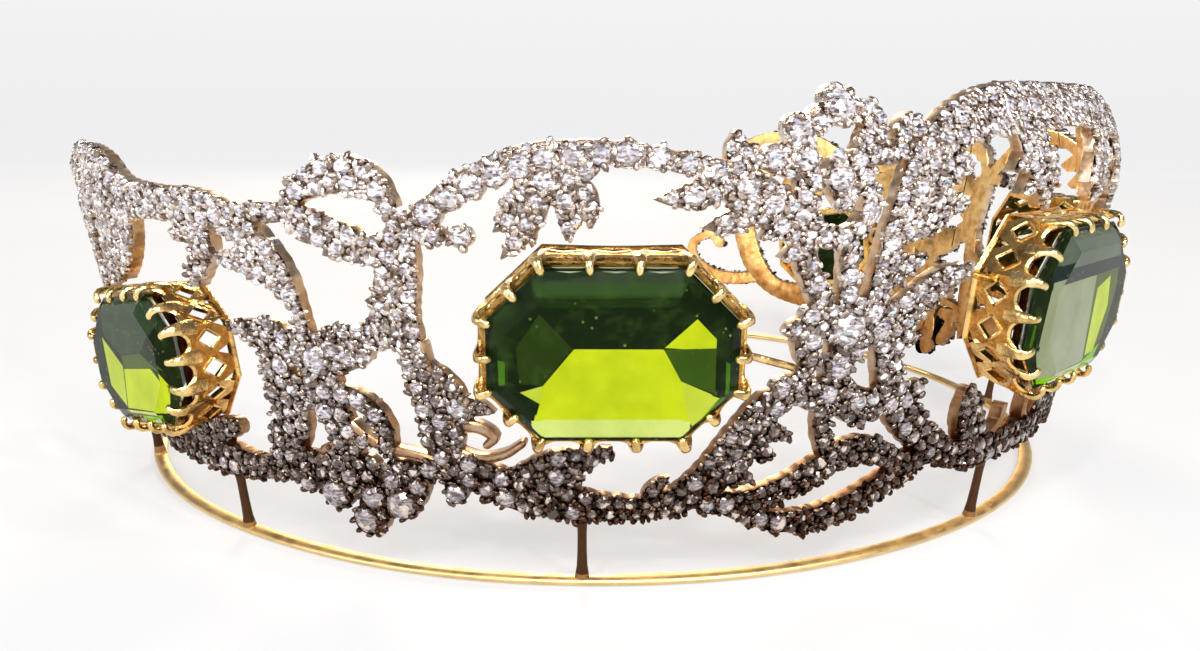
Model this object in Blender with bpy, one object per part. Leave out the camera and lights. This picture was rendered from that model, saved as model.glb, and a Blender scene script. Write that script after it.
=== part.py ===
"""A tiara: a pierced scroll band of silver leaves and stone settings, standing on seven
gold posts and a flattened gold hoop, with large step-cut green stones in pierced gold claw collets.

The front faces -Y and the hoop rests on z = 0. The left half (-X) is drawn, and the right half
mirrors it. The band is drawn flat, as a jeweller saws it, and is then bent onto its cone.
"""

import math

import bmesh
import bpy
from mathutils import Matrix, Vector

MM = 0.001

# Driving sizes, in millimetres and degrees
HOOP_RADIUS = 75.4
HOOP_WIDTH = 2.2
HOOP_THICKNESS = 1.15
HOOP_HALF_ANGLE = 140.0
HOOP_POINTS = 37
BAND_RADIUS = 75.0
BAND_FLARE = math.tan(math.radians(10.0))
CURVE_IN_FROM = 44.0
CURVE_IN = 0.028
SHEET_RADIUS = 80.0
BAND_BACK = -0.7
BAND_FRONT = 1.0
SETTING_FRONT = 1.5
STUD_FRONT = 1.75
OUTLINE_STEP = 3.0
OUTLINE_TOLERANCE = 0.25
SMALLEST_HOLE = 1.2
PARTING_GAP = 0.3
POST_THICKNESS = 1.3

# The side stone's middle lies this far from the front. Angles in the tables below are counted
# from it in degrees, positive towards the front, so the front middle is at 45.
SIDE_STONE_ANGLE = -45.0
FRONT = 45.0

# The band's sections: first and last angle. The front ones cross the middle.
SECTIONS = {
    "front_arch": (33.5, 56.5),
    "front_lower_scroll": (33.5, 56.5),
    "inner_spray": (2.5, 33.5),
    "side_arch": (-19.3, 2.5),
    "outer_spray": (-33.5, -19.3),
    "back_arch": (-80.0, -33.5),
}

# Scrolls: the sections that each is in, then a row for each point with its angle in degrees,
# its height and its width in mm
SCROLLS = (
    # The arch and pendant over the front stone, and the scroll below it
    (("front_arch", "inner_spray"),
     ((21.6, 33.6, 2.9), (22.0, 38.5, 3.2), (22.7, 44.0, 3.6), (24.0, 49.0, 4.0),
      (26.6, 52.6, 4.4), (30.6, 54.8, 5.2), (36.0, 56.0, 5.6), (45.0, 56.4, 5.3))),
    (("front_arch",), ((37.0, 54.0, 5.4), (37.8, 50.6, 5.4), (38.7, 47.4, 3.6), (39.5, 44.6, 1.8))),
    (("front_lower_scroll", "inner_spray"),
     ((23.6, 29.6, 4.2), (24.2, 25.6, 3.6), (25.4, 22.2, 4.4), (27.4, 19.0, 4.6),
      (30.0, 15.8, 3.9), (33.4, 13.1, 3.6), (38.0, 11.8, 4.3), (45.0, 12.2, 4.2))),
    (("front_lower_scroll",), ((38.6, 12.4, 4.6), (37.0, 15.4, 5.2), (35.7, 18.4, 4.6), (35.2, 20.9, 2.0))),
    (("front_lower_scroll",), ((40.4, 13.0, 2.0), (42.2, 14.9, 1.6), (42.4, 17.2, 1.3))),
    # The leafy branch between the side arch and the middle spray
    (("side_arch", "inner_spray"),
     ((-14.6, 42.2, 3.0), (-12.6, 45.3, 2.6), (-9.8, 48.1, 2.7), (-6.0, 50.5, 2.5),
      (-0.4, 50.9, 2.7), (4.2, 50.2, 2.3), (8.0, 48.9, 2.6))),
    (("inner_spray",),
     ((7.6, 49.0, 2.6), (9.6, 47.3, 4.8), (12.6, 44.6, 4.5), (14.4, 42.0, 3.2),
      (15.2, 38.6, 2.6), (16.9, 34.4, 2.6))),
    (("inner_spray",), ((10.2, 50.3, 1.6), (12.0, 50.3, 3.2), (13.8, 49.6, 3.3), (15.4, 47.8, 1.6))),
    # The flower's ring and stems
    (("inner_spray",),
     ((18.4, 50.6, 2.1), (19.3, 47.6, 2.0), (19.7, 44.8, 2.2), (18.6, 42.4, 2.3), (16.9, 41.8, 2.3),
      (15.2, 43.0, 2.4), (14.3, 45.2, 2.4), (14.2, 48.0, 2.2))),
    (("inner_spray",), ((18.3, 42.0, 2.0), (18.6, 39.4, 2.3), (19.0, 34.2, 2.3))),
    (("inner_spray",), ((14.0, 52.4, 2.2), (14.2, 50.2, 2.2))),
    (("inner_spray",), ((14.6, 53.6, 2.4), (16.8, 55.2, 2.6), (20.2, 54.9, 2.8), (19.4, 51.4, 3.2), (18.4, 50.0, 2.4))),
    (("inner_spray",), ((19.2, 50.4, 2.2), (21.6, 51.0, 2.2), (24.4, 52.6, 2.2))),
    # The middle spray
    (("inner_spray",),
     ((14.4, 31.4, 1.8), (16.4, 32.2, 3.8), (19.4, 32.6, 4.6), (22.0, 31.8, 5.6), (24.6, 30.6, 4.4))),
    (("inner_spray",), ((15.8, 31.6, 3.0), (15.9, 29.2, 2.9), (16.4, 27.0, 2.0), (14.8, 25.0, 1.7))),
    (("inner_spray",), ((23.4, 30.4, 4.2), (25.2, 33.2, 4.2), (28.0, 36.1, 3.4), (30.8, 37.3, 1.6))),
    (("inner_spray",), ((19.2, 31.0, 3.6), (19.0, 26.8, 3.2), (18.6, 23.4, 3.2))),
    (("inner_spray",),
     ((14.6, 25.2, 2.2), (16.8, 23.7, 3.8), (20.0, 22.6, 4.4), (22.4, 21.5, 4.2), (25.6, 22.4, 3.2))),
    (("inner_spray",), ((18.2, 22.0, 2.4), (18.5, 18.4, 2.0), (19.6, 15.4, 2.2))),
    # The two swirling leaves below the middle spray
    (("inner_spray",),
     ((8.4, 10.6, 2.8), (12.0, 10.5, 3.0), (16.0, 12.1, 3.2), (20.2, 15.0, 3.6), (22.5, 15.8, 3.6),
      (25.0, 15.0, 3.1), (28.0, 13.0, 3.0), (31.6, 13.6, 3.4))),
    (("inner_spray",),
     ((10.6, 9.9, 2.2), (14.0, 7.9, 2.5), (18.0, 7.1, 3.2), (22.0, 8.1, 3.4), (26.0, 10.4, 3.4),
      (29.8, 12.6, 3.0))),
    # The long scroll below the side stone
    (("side_arch", "inner_spray"),
     ((-13.6, 17.0, 3.8), (-11.4, 14.4, 4.2), (-8.0, 12.4, 4.8), (-4.0, 11.2, 4.8), (0.0, 10.4, 3.4),
      (4.6, 10.5, 3.1), (8.4, 13.3, 4.8), (11.4, 18.4, 5.4), (13.2, 22.4, 4.2), (15.0, 24.4, 2.2))),
    (("side_arch",), ((-7.4, 13.2, 4.0), (-4.6, 15.2, 4.4), (-1.8, 16.6, 3.0), (0.2, 17.6, 1.2))),
    # The side stone's trunk
    (("side_arch",),
     ((-15.3, 43.4, 3.0), (-15.9, 38.6, 4.7), (-16.5, 34.0, 5.2), (-15.6, 29.8, 3.2), (-15.2, 27.2, 3.4),
      (-13.6, 23.4, 6.4), (-13.6, 19.0, 5.4), (-13.4, 15.4, 3.8))),
    (("side_arch",), ((-1.4, 49.8, 2.6), (-3.6, 48.2, 4.6), (-6.4, 46.0, 3.0))),
    (("side_arch",), ((-12.8, 20.3, 1.8), (-10.4, 20.1, 1.8), (-9.2, 19.0, 1.6), (-9.8, 18.0, 1.2))),
    (("side_arch",), ((-13.2, 17.4, 1.3), (-10.6, 16.3, 1.2), (-8.4, 16.9, 1.1), (-6.8, 18.4, 1.0))),
    # The hooked leaf and the wavy leaf left of the trunk
    (("side_arch", "outer_spray"),
     ((-15.8, 43.0, 1.6), (-16.5, 46.0, 2.5), (-18.1, 47.7, 4.0), (-20.6, 48.2, 4.2), (-23.0, 47.0, 3.2),
      (-24.8, 45.0, 1.6))),
    (("side_arch", "outer_spray"),
     ((-15.9, 41.2, 3.4), (-17.8, 40.2, 3.4), (-20.2, 40.9, 4.2), (-23.2, 42.9, 3.4), (-25.8, 43.9, 2.2),
      (-29.6, 43.6, 1.8))),
    # The link to the outer spray
    (("side_arch", "outer_spray"),
     ((-16.0, 31.0, 3.4), (-19.0, 30.2, 3.2), (-21.0, 28.8, 5.4), (-24.4, 27.6, 5.0), (-28.4, 28.6, 3.6))),
    (("side_arch", "outer_spray"),
     ((-24.2, 23.0, 2.8), (-21.6, 22.6, 2.6), (-19.7, 21.2, 2.6), (-18.7, 19.0, 2.4), (-18.7, 16.2, 2.0))),
    (("side_arch", "outer_spray"),
     ((-21.8, 19.2, 1.7), (-20.6, 17.4, 1.7), (-18.4, 16.4, 1.5), (-15.8, 16.0, 1.5), (-13.4, 15.0, 2.2))),
    (("side_arch",), ((-18.4, 14.1, 2.4), (-16.2, 13.9, 2.8), (-13.6, 14.8, 2.6))),
    (("side_arch",), ((-15.9, 14.0, 2.2), (-16.4, 11.4, 3.0), (-17.6, 8.6, 2.6))),
    # The outer spray's columns
    (("outer_spray",),
     ((-24.3, 27.0, 4.6), (-24.2, 23.0, 5.2), (-23.2, 19.0, 4.2), (-22.6, 16.0, 3.5), (-22.2, 13.4, 3.2))),
    (("outer_spray",),
     ((-28.6, 29.2, 4.0), (-28.9, 25.4, 4.6), (-28.2, 20.4, 5.6), (-28.8, 16.6, 5.2), (-30.2, 12.4, 3.2))),
    (("outer_spray",), ((-28.0, 22.8, 4.0), (-24.4, 22.2, 4.2))),
    (("outer_spray",), ((-22.8, 16.4, 2.6), (-20.6, 17.2, 2.0))),
    (("outer_spray",), ((-21.4, 13.6, 2.4), (-20.7, 11.2, 3.2), (-20.8, 8.6, 4.4), (-20.7, 6.2, 3.0))),
    (("outer_spray",), ((-22.4, 13.0, 2.6), (-23.6, 10.9, 3.5), (-25.0, 9.2, 2.6))),
    (("outer_spray",), ((-25.7, 34.0, 2.0), (-27.2, 36.6, 3.6), (-29.6, 37.8, 3.8), (-32.7, 37.7, 1.3))),
    (("outer_spray", "back_arch"),
     ((-25.2, 28.6, 2.2), (-25.4, 32.6, 1.5), (-26.1, 36.6, 2.0), (-27.8, 39.8, 2.8), (-30.4, 42.2, 4.0),
      (-34.4, 43.7, 4.4), (-40.0, 43.9, 4.2), (-45.6, 44.1, 5.2), (-49.6, 46.2, 6.0), (-54.2, 47.5, 5.4),
      (-58.6, 47.7, 4.4), (-62.6, 46.8, 2.0))),
    (("outer_spray",), ((-28.6, 28.8, 4.0), (-31.0, 29.2, 3.2), (-32.9, 29.6, 1.4))),
    (("outer_spray", "back_arch"),
     ((-20.6, 14.0, 2.6), (-23.0, 13.3, 3.5), (-28.0, 12.7, 3.7), (-33.0, 11.0, 3.2), (-40.0, 11.2, 5.0),
      (-48.0, 11.9, 5.2), (-54.4, 13.2, 4.2), (-58.6, 18.0, 5.0), (-61.0, 25.0, 5.2), (-61.8, 31.6, 5.8),
      (-60.6, 37.8, 6.0), (-57.8, 43.0, 5.8), (-55.0, 46.4, 4.6))),
    # The back stone's pendants and the back end
    (("back_arch",), ((-46.6, 43.0, 5.0), (-47.8, 39.8, 5.4), (-49.6, 36.6, 4.8), (-51.6, 33.6, 2.6))),
    (("back_arch",), ((-51.4, 44.6, 5.4), (-52.4, 40.8, 5.8), (-53.4, 37.2, 5.0), (-55.2, 33.0, 3.4))),
    (("back_arch",), ((-34.6, 42.4, 4.2), (-34.9, 39.4, 4.0), (-35.5, 37.2, 2.6), (-36.8, 34.8, 1.8))),
    (("back_arch",), ((-43.4, 12.2, 3.0), (-40.0, 14.0, 3.8), (-36.0, 15.9, 2.4))),
    (("back_arch",), ((-60.0, 40.4, 3.2), (-63.6, 39.6, 4.0), (-67.2, 40.8, 3.4), (-70.2, 43.4, 1.8))),
    (("back_arch",),
     ((-57.0, 15.8, 3.0), (-61.6, 14.4, 3.0), (-66.4, 14.9, 3.0), (-70.2, 18.2, 2.6), (-70.6, 22.4, 2.2),
      (-67.6, 24.8, 2.0), (-65.6, 22.6, 2.4))),
)

# Leaves: section, angle and height at the root, angle and height at the tip, and width
LEAVES = (
    ("front_arch", 37.6, 51.4, 34.5, 48.6, 2.6),
    ("front_arch", 38.4, 49.2, 35.9, 45.8, 2.4),
    ("front_arch", 38.0, 50.4, 41.2, 46.4, 2.6),
    ("inner_spray", 8.6, 47.7, 3.1, 46.2, 2.9),
    ("inner_spray", 11.0, 45.2, 6.6, 43.2, 2.7),
    ("inner_spray", 13.2, 44.2, 11.0, 41.9, 2.0),
    ("inner_spray", 15.0, 41.2, 12.8, 39.8, 2.2),
    ("inner_spray", 9.7, 48.8, 9.0, 53.2, 3.2),
    ("inner_spray", 16.7, 50.6, 17.3, 44.6, 3.9),
    ("inner_spray", 22.4, 51.4, 23.9, 55.3, 2.6),
    ("inner_spray", 21.8, 36.4, 25.8, 39.2, 3.2),
    ("inner_spray", 23.4, 46.6, 29.8, 50.2, 4.2),
    ("inner_spray", 22.8, 43.2, 29.2, 45.2, 3.8),
    ("inner_spray", 22.2, 41.6, 27.3, 42.9, 2.6),
    ("inner_spray", 26.2, 20.6, 28.5, 23.8, 2.8),
    ("inner_spray", 19.8, 21.8, 22.8, 18.9, 2.8),
    ("inner_spray", 12.8, 19.8, 15.6, 18.3, 2.2),
    ("inner_spray", 11.8, 17.2, 14.4, 16.2, 2.2),
    ("inner_spray", 10.0, 14.6, 12.6, 13.3, 2.2),
    ("inner_spray", 3.2, 11.0, 5.3, 14.3, 2.0),
    ("side_arch", -5.4, 47.0, -8.4, 42.6, 2.7),
    ("side_arch", -4.8, 47.0, -7.9, 39.7, 2.9),
    ("side_arch", -2.9, 48.6, -3.1, 41.8, 3.3),
    ("side_arch", -2.2, 48.2, -1.3, 43.1, 2.6),
    ("side_arch", -5.9, 44.0, -5.6, 41.0, 1.3),
    ("side_arch", -5.6, 13.0, -1.7, 14.0, 2.2),
    ("side_arch", -12.4, 22.6, -9.0, 22.0, 2.4),
    ("side_arch", -12.7, 14.8, -13.2, 10.0, 3.2),
    ("side_arch", -15.4, 35.4, -19.0, 34.4, 2.6),
    ("side_arch", -15.8, 33.0, -19.2, 32.2, 2.6),
    ("outer_spray", -21.0, 42.2, -24.5, 41.0, 2.0),
    ("outer_spray", -19.9, 41.8, -22.2, 39.3, 2.6),
    ("outer_spray", -25.8, 13.4, -23.2, 16.0, 1.8),
    ("outer_spray", -28.0, 13.0, -28.0, 9.4, 2.6),
    ("back_arch", -34.8, 41.0, -38.8, 40.3, 2.6),
    ("back_arch", -35.2, 38.2, -38.0, 35.2, 2.2),
    ("side_arch", -14.6, 42.4, -11.7, 41.7, 2.6),
)

# Round settings of the main stones: section, angle, height and stone diameter. Each holds a
# stone of its own.
MAIN_STONES = (
    ("inner_spray", 19.4, 31.3, 4.2),
    ("inner_spray", 19.0, 26.9, 3.2),
    ("inner_spray", 17.5, 55.9, 3.6),
    ("inner_spray", 13.9, 53.2, 2.8),
    ("side_arch", -11.9, 22.4, 2.6),
    ("outer_spray", -24.4, 26.8, 3.6),
)

# Rows of raised stones fused to a scroll: the scroll's section, its row of stones' first and
# last point (degrees, height), the bow of the row in mm, how many, and their diameter
STONE_ROWS = (
    ("front_arch", (34.8, 56.0), (45.0, 56.4), 0.0, 6, 2.2),
    ("inner_spray", (22.1, 41.0), (26.6, 52.6), 0.7, 5, 2.2),
    ("side_arch", (-13.2, 44.4), (1.2, 50.8), 2.0, 9, 2.3),
    ("outer_spray", (-27.6, 39.6), (-32.2, 43.0), 0.5, 3, 2.2),
    ("back_arch", (-35.4, 43.9), (-45.6, 44.9), -0.2, 5, 2.3),
)

# Large stones and their collets: angle from the front, height of the middle, distance of the
# girdle's middle from the axis, outward lean, turn in its own plane, and size against the
# side stone's
LARGE_STONES = {
    "front": (0.0, 31.4, 85.2, 6.0, 0.0, 1.055),
    "side": (-44.7, 29.9, 84.6, 6.7, 0.0, 1.0),
    "back": (-90.0, 23.4, 84.0, 4.0, 9.0, 0.865),
}
STONE_HALF_WIDTH = 13.3
STONE_HALF_HEIGHT = 9.55
STONE_CORNER = 5.7
# Steps of the cut: height over the girdle and how far in it lies, from table to culet
STONE_STEPS = ((1.9, 2.3), (0.15, 0.0), (-0.15, 0.0), (-2.4, 2.6), (-4.4, 5.4), (-5.8, 7.8))
COLLET_CLEARANCE = 0.4
COLLET_WALL = 0.8
COLLET_DEPTH = 7.6
COLLET_BACK_INSET = 1.0
RIM_DROP = 0.4
SCALLOP_DEPTH = 1.2
CLAW_THICKNESS = 0.95
CLAW_RISE = 1.5
CLAW_LEAN = 0.65
WINDOW_DEPTH = 3.7
WINDOW_HEIGHT = 1.4
WINDOW_SHARE = 0.29
BAR_THICKNESS = 0.9

# The collets that each section of the band is cut back from
COLLETS_BESIDE = {
    "front_arch": ("front",),
    "front_lower_scroll": ("front",),
    "inner_spray": ("front", "side"),
    "side_arch": ("side",),
    "outer_spray": ("side", "back"),
    "back_arch": ("back",),
}

# Gold bars from a collet to the scrolls: stone, the bar's angle and height at each end
COLLET_BARS = (
    ("front", 34.9, 35.4, 31.6, 36.6),
    ("side", 9.4, 29.5, 15.0, 27.1),
)

# Posts: angle from the front and the height of the scroll above, for the whole tiara
POSTS = ((-112.0, 13.2), (-83.0, 8.4), (-47.0, 8.4), (-3.0, 9.6), (47.0, 8.4), (83.0, 8.4), (112.0, 13.2))

# Finishes: base colour, metallic and roughness
FINISHES = {
    "silver": ((0.56, 0.52, 0.49, 1.0), 1.0, 0.35),
    "gold": ((0.83, 0.58, 0.24, 1.0), 1.0, 0.28),
    "green_stone": ((0.28, 0.42, 0.03, 1.0), 0.0, 0.03),
    "clear_stone": ((0.90, 0.91, 0.95, 1.0), 0.0, 0.03),
}


def clear_scene():
    for old in list(bpy.data.objects):
        bpy.data.objects.remove(old, do_unlink=True)


def new_collection(name):
    group = bpy.data.collections.new(name)
    bpy.context.scene.collection.children.link(group)
    return group


def make_finishes():
    made = {}
    for name, (colour, metallic, roughness) in FINISHES.items():
        finish = bpy.data.materials.new(name)
        finish.use_nodes = True
        shader = finish.node_tree.nodes["Principled BSDF"]
        shader.inputs["Base Color"].default_value = colour
        shader.inputs["Metallic"].default_value = metallic
        shader.inputs["Roughness"].default_value = roughness
        finish.diffuse_color = colour
        made[name] = finish
    return made


def band_radius(height, out=0.0):
    """Distance of the band from the axis: a cone that curves in towards its top, in mm."""
    return BAND_RADIUS + out + BAND_FLARE * height - CURVE_IN * max(height - CURVE_IN_FROM, 0.0) ** 2


def on_band(angle, height, out=0.0):
    """A point of the band in metres, from its angle from the front in degrees."""
    turn = math.radians(angle)
    radius = band_radius(height, out)
    return Vector((radius * math.sin(turn), -radius * math.cos(turn), height)) * MM


def flat_point(angle, height, middle):
    """A table's angle and height as a point of the flat sheet, in mm from the sheet's middle."""
    return Vector((math.radians(angle - middle) * SHEET_RADIUS, height))


def new_object(name, mesh, group):
    obj = bpy.data.objects.new(name, mesh)
    group.objects.link(obj)
    return obj


def mesh_object(name, build, group):
    """An object from a function that fills a bmesh."""
    bm = bmesh.new()
    build(bm)
    bmesh.ops.recalc_face_normals(bm, faces=bm.faces)
    mesh = bpy.data.meshes.new(name)
    bm.to_mesh(mesh)
    bm.free()
    return new_object(name, mesh, group)


def curve_to_mesh(curve_obj, group):
    """The curve's mesh as an object of its own, with its caps welded. The curve is removed."""
    graph = bpy.context.evaluated_depsgraph_get()
    mesh = bpy.data.meshes.new_from_object(curve_obj.evaluated_get(graph))
    bm = bmesh.new()
    bm.from_mesh(mesh)
    bmesh.ops.remove_doubles(bm, verts=bm.verts, dist=0.000002)
    bmesh.ops.recalc_face_normals(bm, faces=bm.faces)
    bm.to_mesh(mesh)
    bm.free()
    obj = new_object(curve_obj.name + "_mesh", mesh, group)
    obj.matrix_world = curve_obj.matrix_world
    bpy.data.objects.remove(curve_obj, do_unlink=True)
    return obj


def plate(name, outlines, back, front, group):
    """A flat plate within these outlines (mm), from height back to height front over the sheet.
    An outline inside another is a hole."""
    curve = bpy.data.curves.new(name, "CURVE")
    curve.dimensions = "2D"
    curve.fill_mode = "BOTH"
    curve.extrude = (front - back) / 2 * MM
    for outline in outlines:
        spline = curve.splines.new("POLY")
        spline.points.add(len(outline) - 1)
        for point, place in zip(spline.points, outline):
            point.co = (place.x * MM, place.y * MM, 0.0, 1.0)
        spline.use_cyclic_u = True
    obj = new_object(name, curve, group)
    obj.location.z = (front + back) / 2 * MM
    bpy.context.view_layer.update()
    return curve_to_mesh(obj, group)


def smooth_rows(rows):
    """Points along a smooth curve through (x, y, width) rows, about OUTLINE_STEP mm apart."""
    ends = [rows[0] * 2 - rows[1], *rows, rows[-1] * 2 - rows[-2]]
    found = [rows[0]]
    for first, start, end, last in zip(ends, ends[1:], ends[2:], ends[3:]):
        count = max(1, round((end - start).xy.length / OUTLINE_STEP))
        for step in range(1, count + 1):
            t = step / count
            found.append((start * 2 + (end - first) * t
                          + (first * 2 - start * 5 + end * 4 - last) * t * t
                          + (start * 3 - first - end * 3 + last) * t ** 3) / 2)
    return found


def scroll_outline(rows, middle):
    """The outline of a scroll, with a blunt point at each end."""
    flat = [Vector((*flat_point(angle, height, middle), width)) for angle, height, width in rows]
    path = smooth_rows(flat)
    left, right = [], []
    for index, point in enumerate(path):
        before = path[max(index - 1, 0)]
        after = path[min(index + 1, len(path) - 1)]
        along = (after - before).xy.normalized()
        side = Vector((-along.y, along.x)) * point.z / 2
        left.append(point.xy + side)
        right.append(point.xy - side)
    first = (path[0] - path[1]).xy.normalized() * path[0].z * 0.4 + path[0].xy
    last = (path[-1] - path[-2]).xy.normalized() * path[-1].z * 0.4 + path[-1].xy
    return [first, *right, last, *reversed(left)]


def leaf_outline(root, tip, width):
    """A pointed leaf, widest a third of the way from its root."""
    along = tip - root
    side = Vector((-along.y, along.x)).normalized() * width / 2
    shares = ((0.1, 0.7), (0.35, 1.0), (0.7, 0.72))
    left = [root + along * t + side * share for t, share in shares]
    right = [root + along * t - side * share for t, share in shares]
    return [root, *right, tip, *reversed(left)]


def round_plate(name, place, diameter, sides, back, front, group):
    """A round setting or stud that stands on the sheet."""
    def build(bm):
        bmesh.ops.create_cone(bm, cap_ends=True, segments=sides, radius1=diameter / 2 * MM,
                              radius2=diameter / 2 * MM, depth=(front - back) * MM)
        middle = Vector((place.x, place.y, (front + back) / 2)) * MM
        bmesh.ops.translate(bm, verts=bm.verts, vec=middle)
    return mesh_object(name, build, group)


def stud(name, place, diameter, group):
    """A raised stone with a table and eight sides, fused to the band below it."""
    def build(bm):
        bmesh.ops.create_cone(bm, cap_ends=True, segments=8, radius1=diameter / 2 * MM,
                              radius2=diameter * 0.3 * MM, depth=(STUD_FRONT - 0.3) * MM)
        middle = Vector((place.x, place.y, (STUD_FRONT + 0.3) / 2)) * MM
        bmesh.ops.translate(bm, verts=bm.verts, vec=middle)
    return mesh_object(name, build, group)


def apply_boolean(obj, operation, cutters):
    """The object's mesh after a Boolean with every object of a collection."""
    modifier = obj.modifiers.new(operation, "BOOLEAN")
    modifier.operation = operation
    modifier.operand_type = "COLLECTION"
    modifier.collection = cutters
    modifier.solver = "EXACT"
    bpy.context.view_layer.update()
    graph = bpy.context.evaluated_depsgraph_get()
    mesh = bpy.data.meshes.new_from_object(obj.evaluated_get(graph))
    obj.modifiers.remove(modifier)
    old = obj.data
    obj.data = mesh
    bpy.data.meshes.remove(old)
    for tool in list(cutters.objects):
        bpy.data.objects.remove(tool, do_unlink=True)


def area_of(loop):
    """The area inside a loop of points, negative for one that runs clockwise."""
    return sum(a.x * b.y - b.x * a.y for a, b in zip(loop, loop[1:] + loop[:1])) / 2


def thin_out(loop):
    """The loop without the points that hardly change its course."""
    kept = list(loop)
    while len(kept) > 4:
        costs = []
        for index, point in enumerate(kept):
            before, after = kept[index - 1], kept[(index + 1) % len(kept)]
            span = after - before
            costs.append(abs(span.cross(point - before)) / max(span.length, 0.01))
        cheapest = min(costs)
        if cheapest > OUTLINE_TOLERANCE:
            break
        kept.pop(costs.index(cheapest))
    return kept


def outlines_of(obj):
    """The outlines, in mm, of the underside of a flat drawing."""
    bm = bmesh.new()
    bm.from_mesh(obj.data)
    following = {}
    for face in bm.faces:
        if face.normal.z > -0.9:
            continue
        for corner in face.loops:
            other = corner.link_loop_radial_next.face
            if other.normal.z > -0.9:
                following[corner.link_loop_next.vert] = corner.vert
    loops = []
    while following:
        start, vert = following.popitem()
        loop = [start]
        while vert is not start:
            loop.append(vert)
            vert = following.pop(vert)
        points = [corner.co.xy / MM for corner in loop]
        if area_of(points) > 0 or area_of(points) < -SMALLEST_HOLE:
            loops.append(thin_out(points))
    bm.free()
    return loops


def bend_onto_band(obj, middle):
    """Bends a flat drawing onto the band's cone, and turns it to its place."""
    bm = bmesh.new()
    bm.from_mesh(obj.data)
    bmesh.ops.triangulate(bm, faces=bm.faces)
    flat = [face for face in bm.faces if abs(face.normal.z) > 0.9]
    inner = [edge for edge in bm.edges if all(abs(face.normal.z) > 0.9 for face in edge.link_faces)]
    bmesh.ops.beautify_fill(bm, faces=flat, edges=inner)
    for vert in bm.verts:
        x, height, out = vert.co / MM
        angle = middle + math.degrees(x / SHEET_RADIUS) + SIDE_STONE_ANGLE
        vert.co = on_band(angle, height, out)
    bm.to_mesh(obj.data)
    bm.free()


def bowed_row(start, end, bow, count, middle):
    """Points from start to end, bowed sideways by bow mm at the middle."""
    first = flat_point(*start, middle)
    last = flat_point(*end, middle)
    side = Vector((-(last - first).y, (last - first).x)).normalized()
    for index in range(count):
        t = index / (count - 1)
        yield first.lerp(last, t) + side * bow * 4 * t * (1 - t)


def first_of(tools, name, group):
    """Takes one object out of the tools, to be the one that the others are joined to."""
    obj = tools.objects[0]
    tools.objects.unlink(obj)
    group.objects.link(obj)
    obj.name = name
    obj.data.name = name
    return obj


def parting_block(start, end, middle, tools):
    """A block that holds one section of the sheet, up to its parting cuts."""
    def build(bm):
        low = flat_point(start, 0.0, middle).x + PARTING_GAP / 2
        high = flat_point(end, 0.0, middle).x - PARTING_GAP / 2
        bmesh.ops.create_cube(bm, size=1.0)
        bmesh.ops.scale(bm, verts=bm.verts, vec=Vector((high - low, 80.0, 20.0)) * MM)
        bmesh.ops.translate(bm, verts=bm.verts, vec=Vector(((low + high) / 2, 35.0, 0.0)) * MM)
    return mesh_object("parting_block", build, tools)


def band_section(name, group, tools):
    """One section of the band: its scrolls and leaves in one plate, with its settings and studs."""
    start, end = SECTIONS[name]
    across = end > FRONT
    middle = FRONT if across else (start + end) / 2
    shapes = [scroll_outline(rows, middle) for sections, rows in SCROLLS if name in sections]
    for section, root_angle, root_height, tip_angle, tip_height, width in LEAVES:
        if section == name:
            root = flat_point(root_angle, root_height, middle)
            shapes.append(leaf_outline(root, flat_point(tip_angle, tip_height, middle), width))
    if across:
        shapes += [[Vector((-point.x, point.y)) for point in reversed(shape)] for shape in shapes]
    for shape in shapes:
        plate("scroll", [shape], BAND_BACK, BAND_FRONT, tools)
    drawing = first_of(tools, "drawing", group)
    apply_boolean(drawing, "UNION", tools)
    whole = plate(name, outlines_of(drawing), BAND_BACK, BAND_FRONT, group)
    bpy.data.objects.remove(drawing, do_unlink=True)
    whole.data.transform(whole.matrix_world)
    whole.matrix_world = Matrix.Identity(4)
    whole.name = name
    whole.data.name = name
    parting_block(start, end, middle, tools)
    apply_boolean(whole, "INTERSECT", tools)

    main_stones = [row[1:] for row in MAIN_STONES if row[0] == name]
    for angle, height, diameter in main_stones:
        place = flat_point(angle, height, middle)
        round_plate("setting", place, diameter + 1.0, 12, BAND_BACK + 0.2, SETTING_FRONT, tools)
    for section, first, last, bow, count, diameter in STONE_ROWS:
        if section != name:
            continue
        for place in bowed_row(first, last, bow, count, middle):
            stud("stud", place, diameter, tools)
            if across and abs(place.x) > 0.1:
                stud("stud", Vector((-place.x, place.y)), diameter, tools)
    if tools.objects:
        apply_boolean(whole, "UNION", tools)
    for angle, height, diameter in main_stones:
        place = flat_point(angle, height, middle)
        round_plate("seat", place, diameter + 0.3, 12, SETTING_FRONT - 0.9, SETTING_FRONT + 1.0, tools)
    if tools.objects:
        apply_boolean(whole, "DIFFERENCE", tools)
    bend_onto_band(whole, middle)
    return whole


def mirror_copy(obj, name, group):
    """The object's mirror image across the middle plane, as an object of its own."""
    mesh = obj.data.copy()
    mesh.name = name
    mesh.transform(Matrix.Scale(-1.0, 4, (1.0, 0.0, 0.0)))
    mesh.flip_normals()
    return new_object(name, mesh, group)


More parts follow.
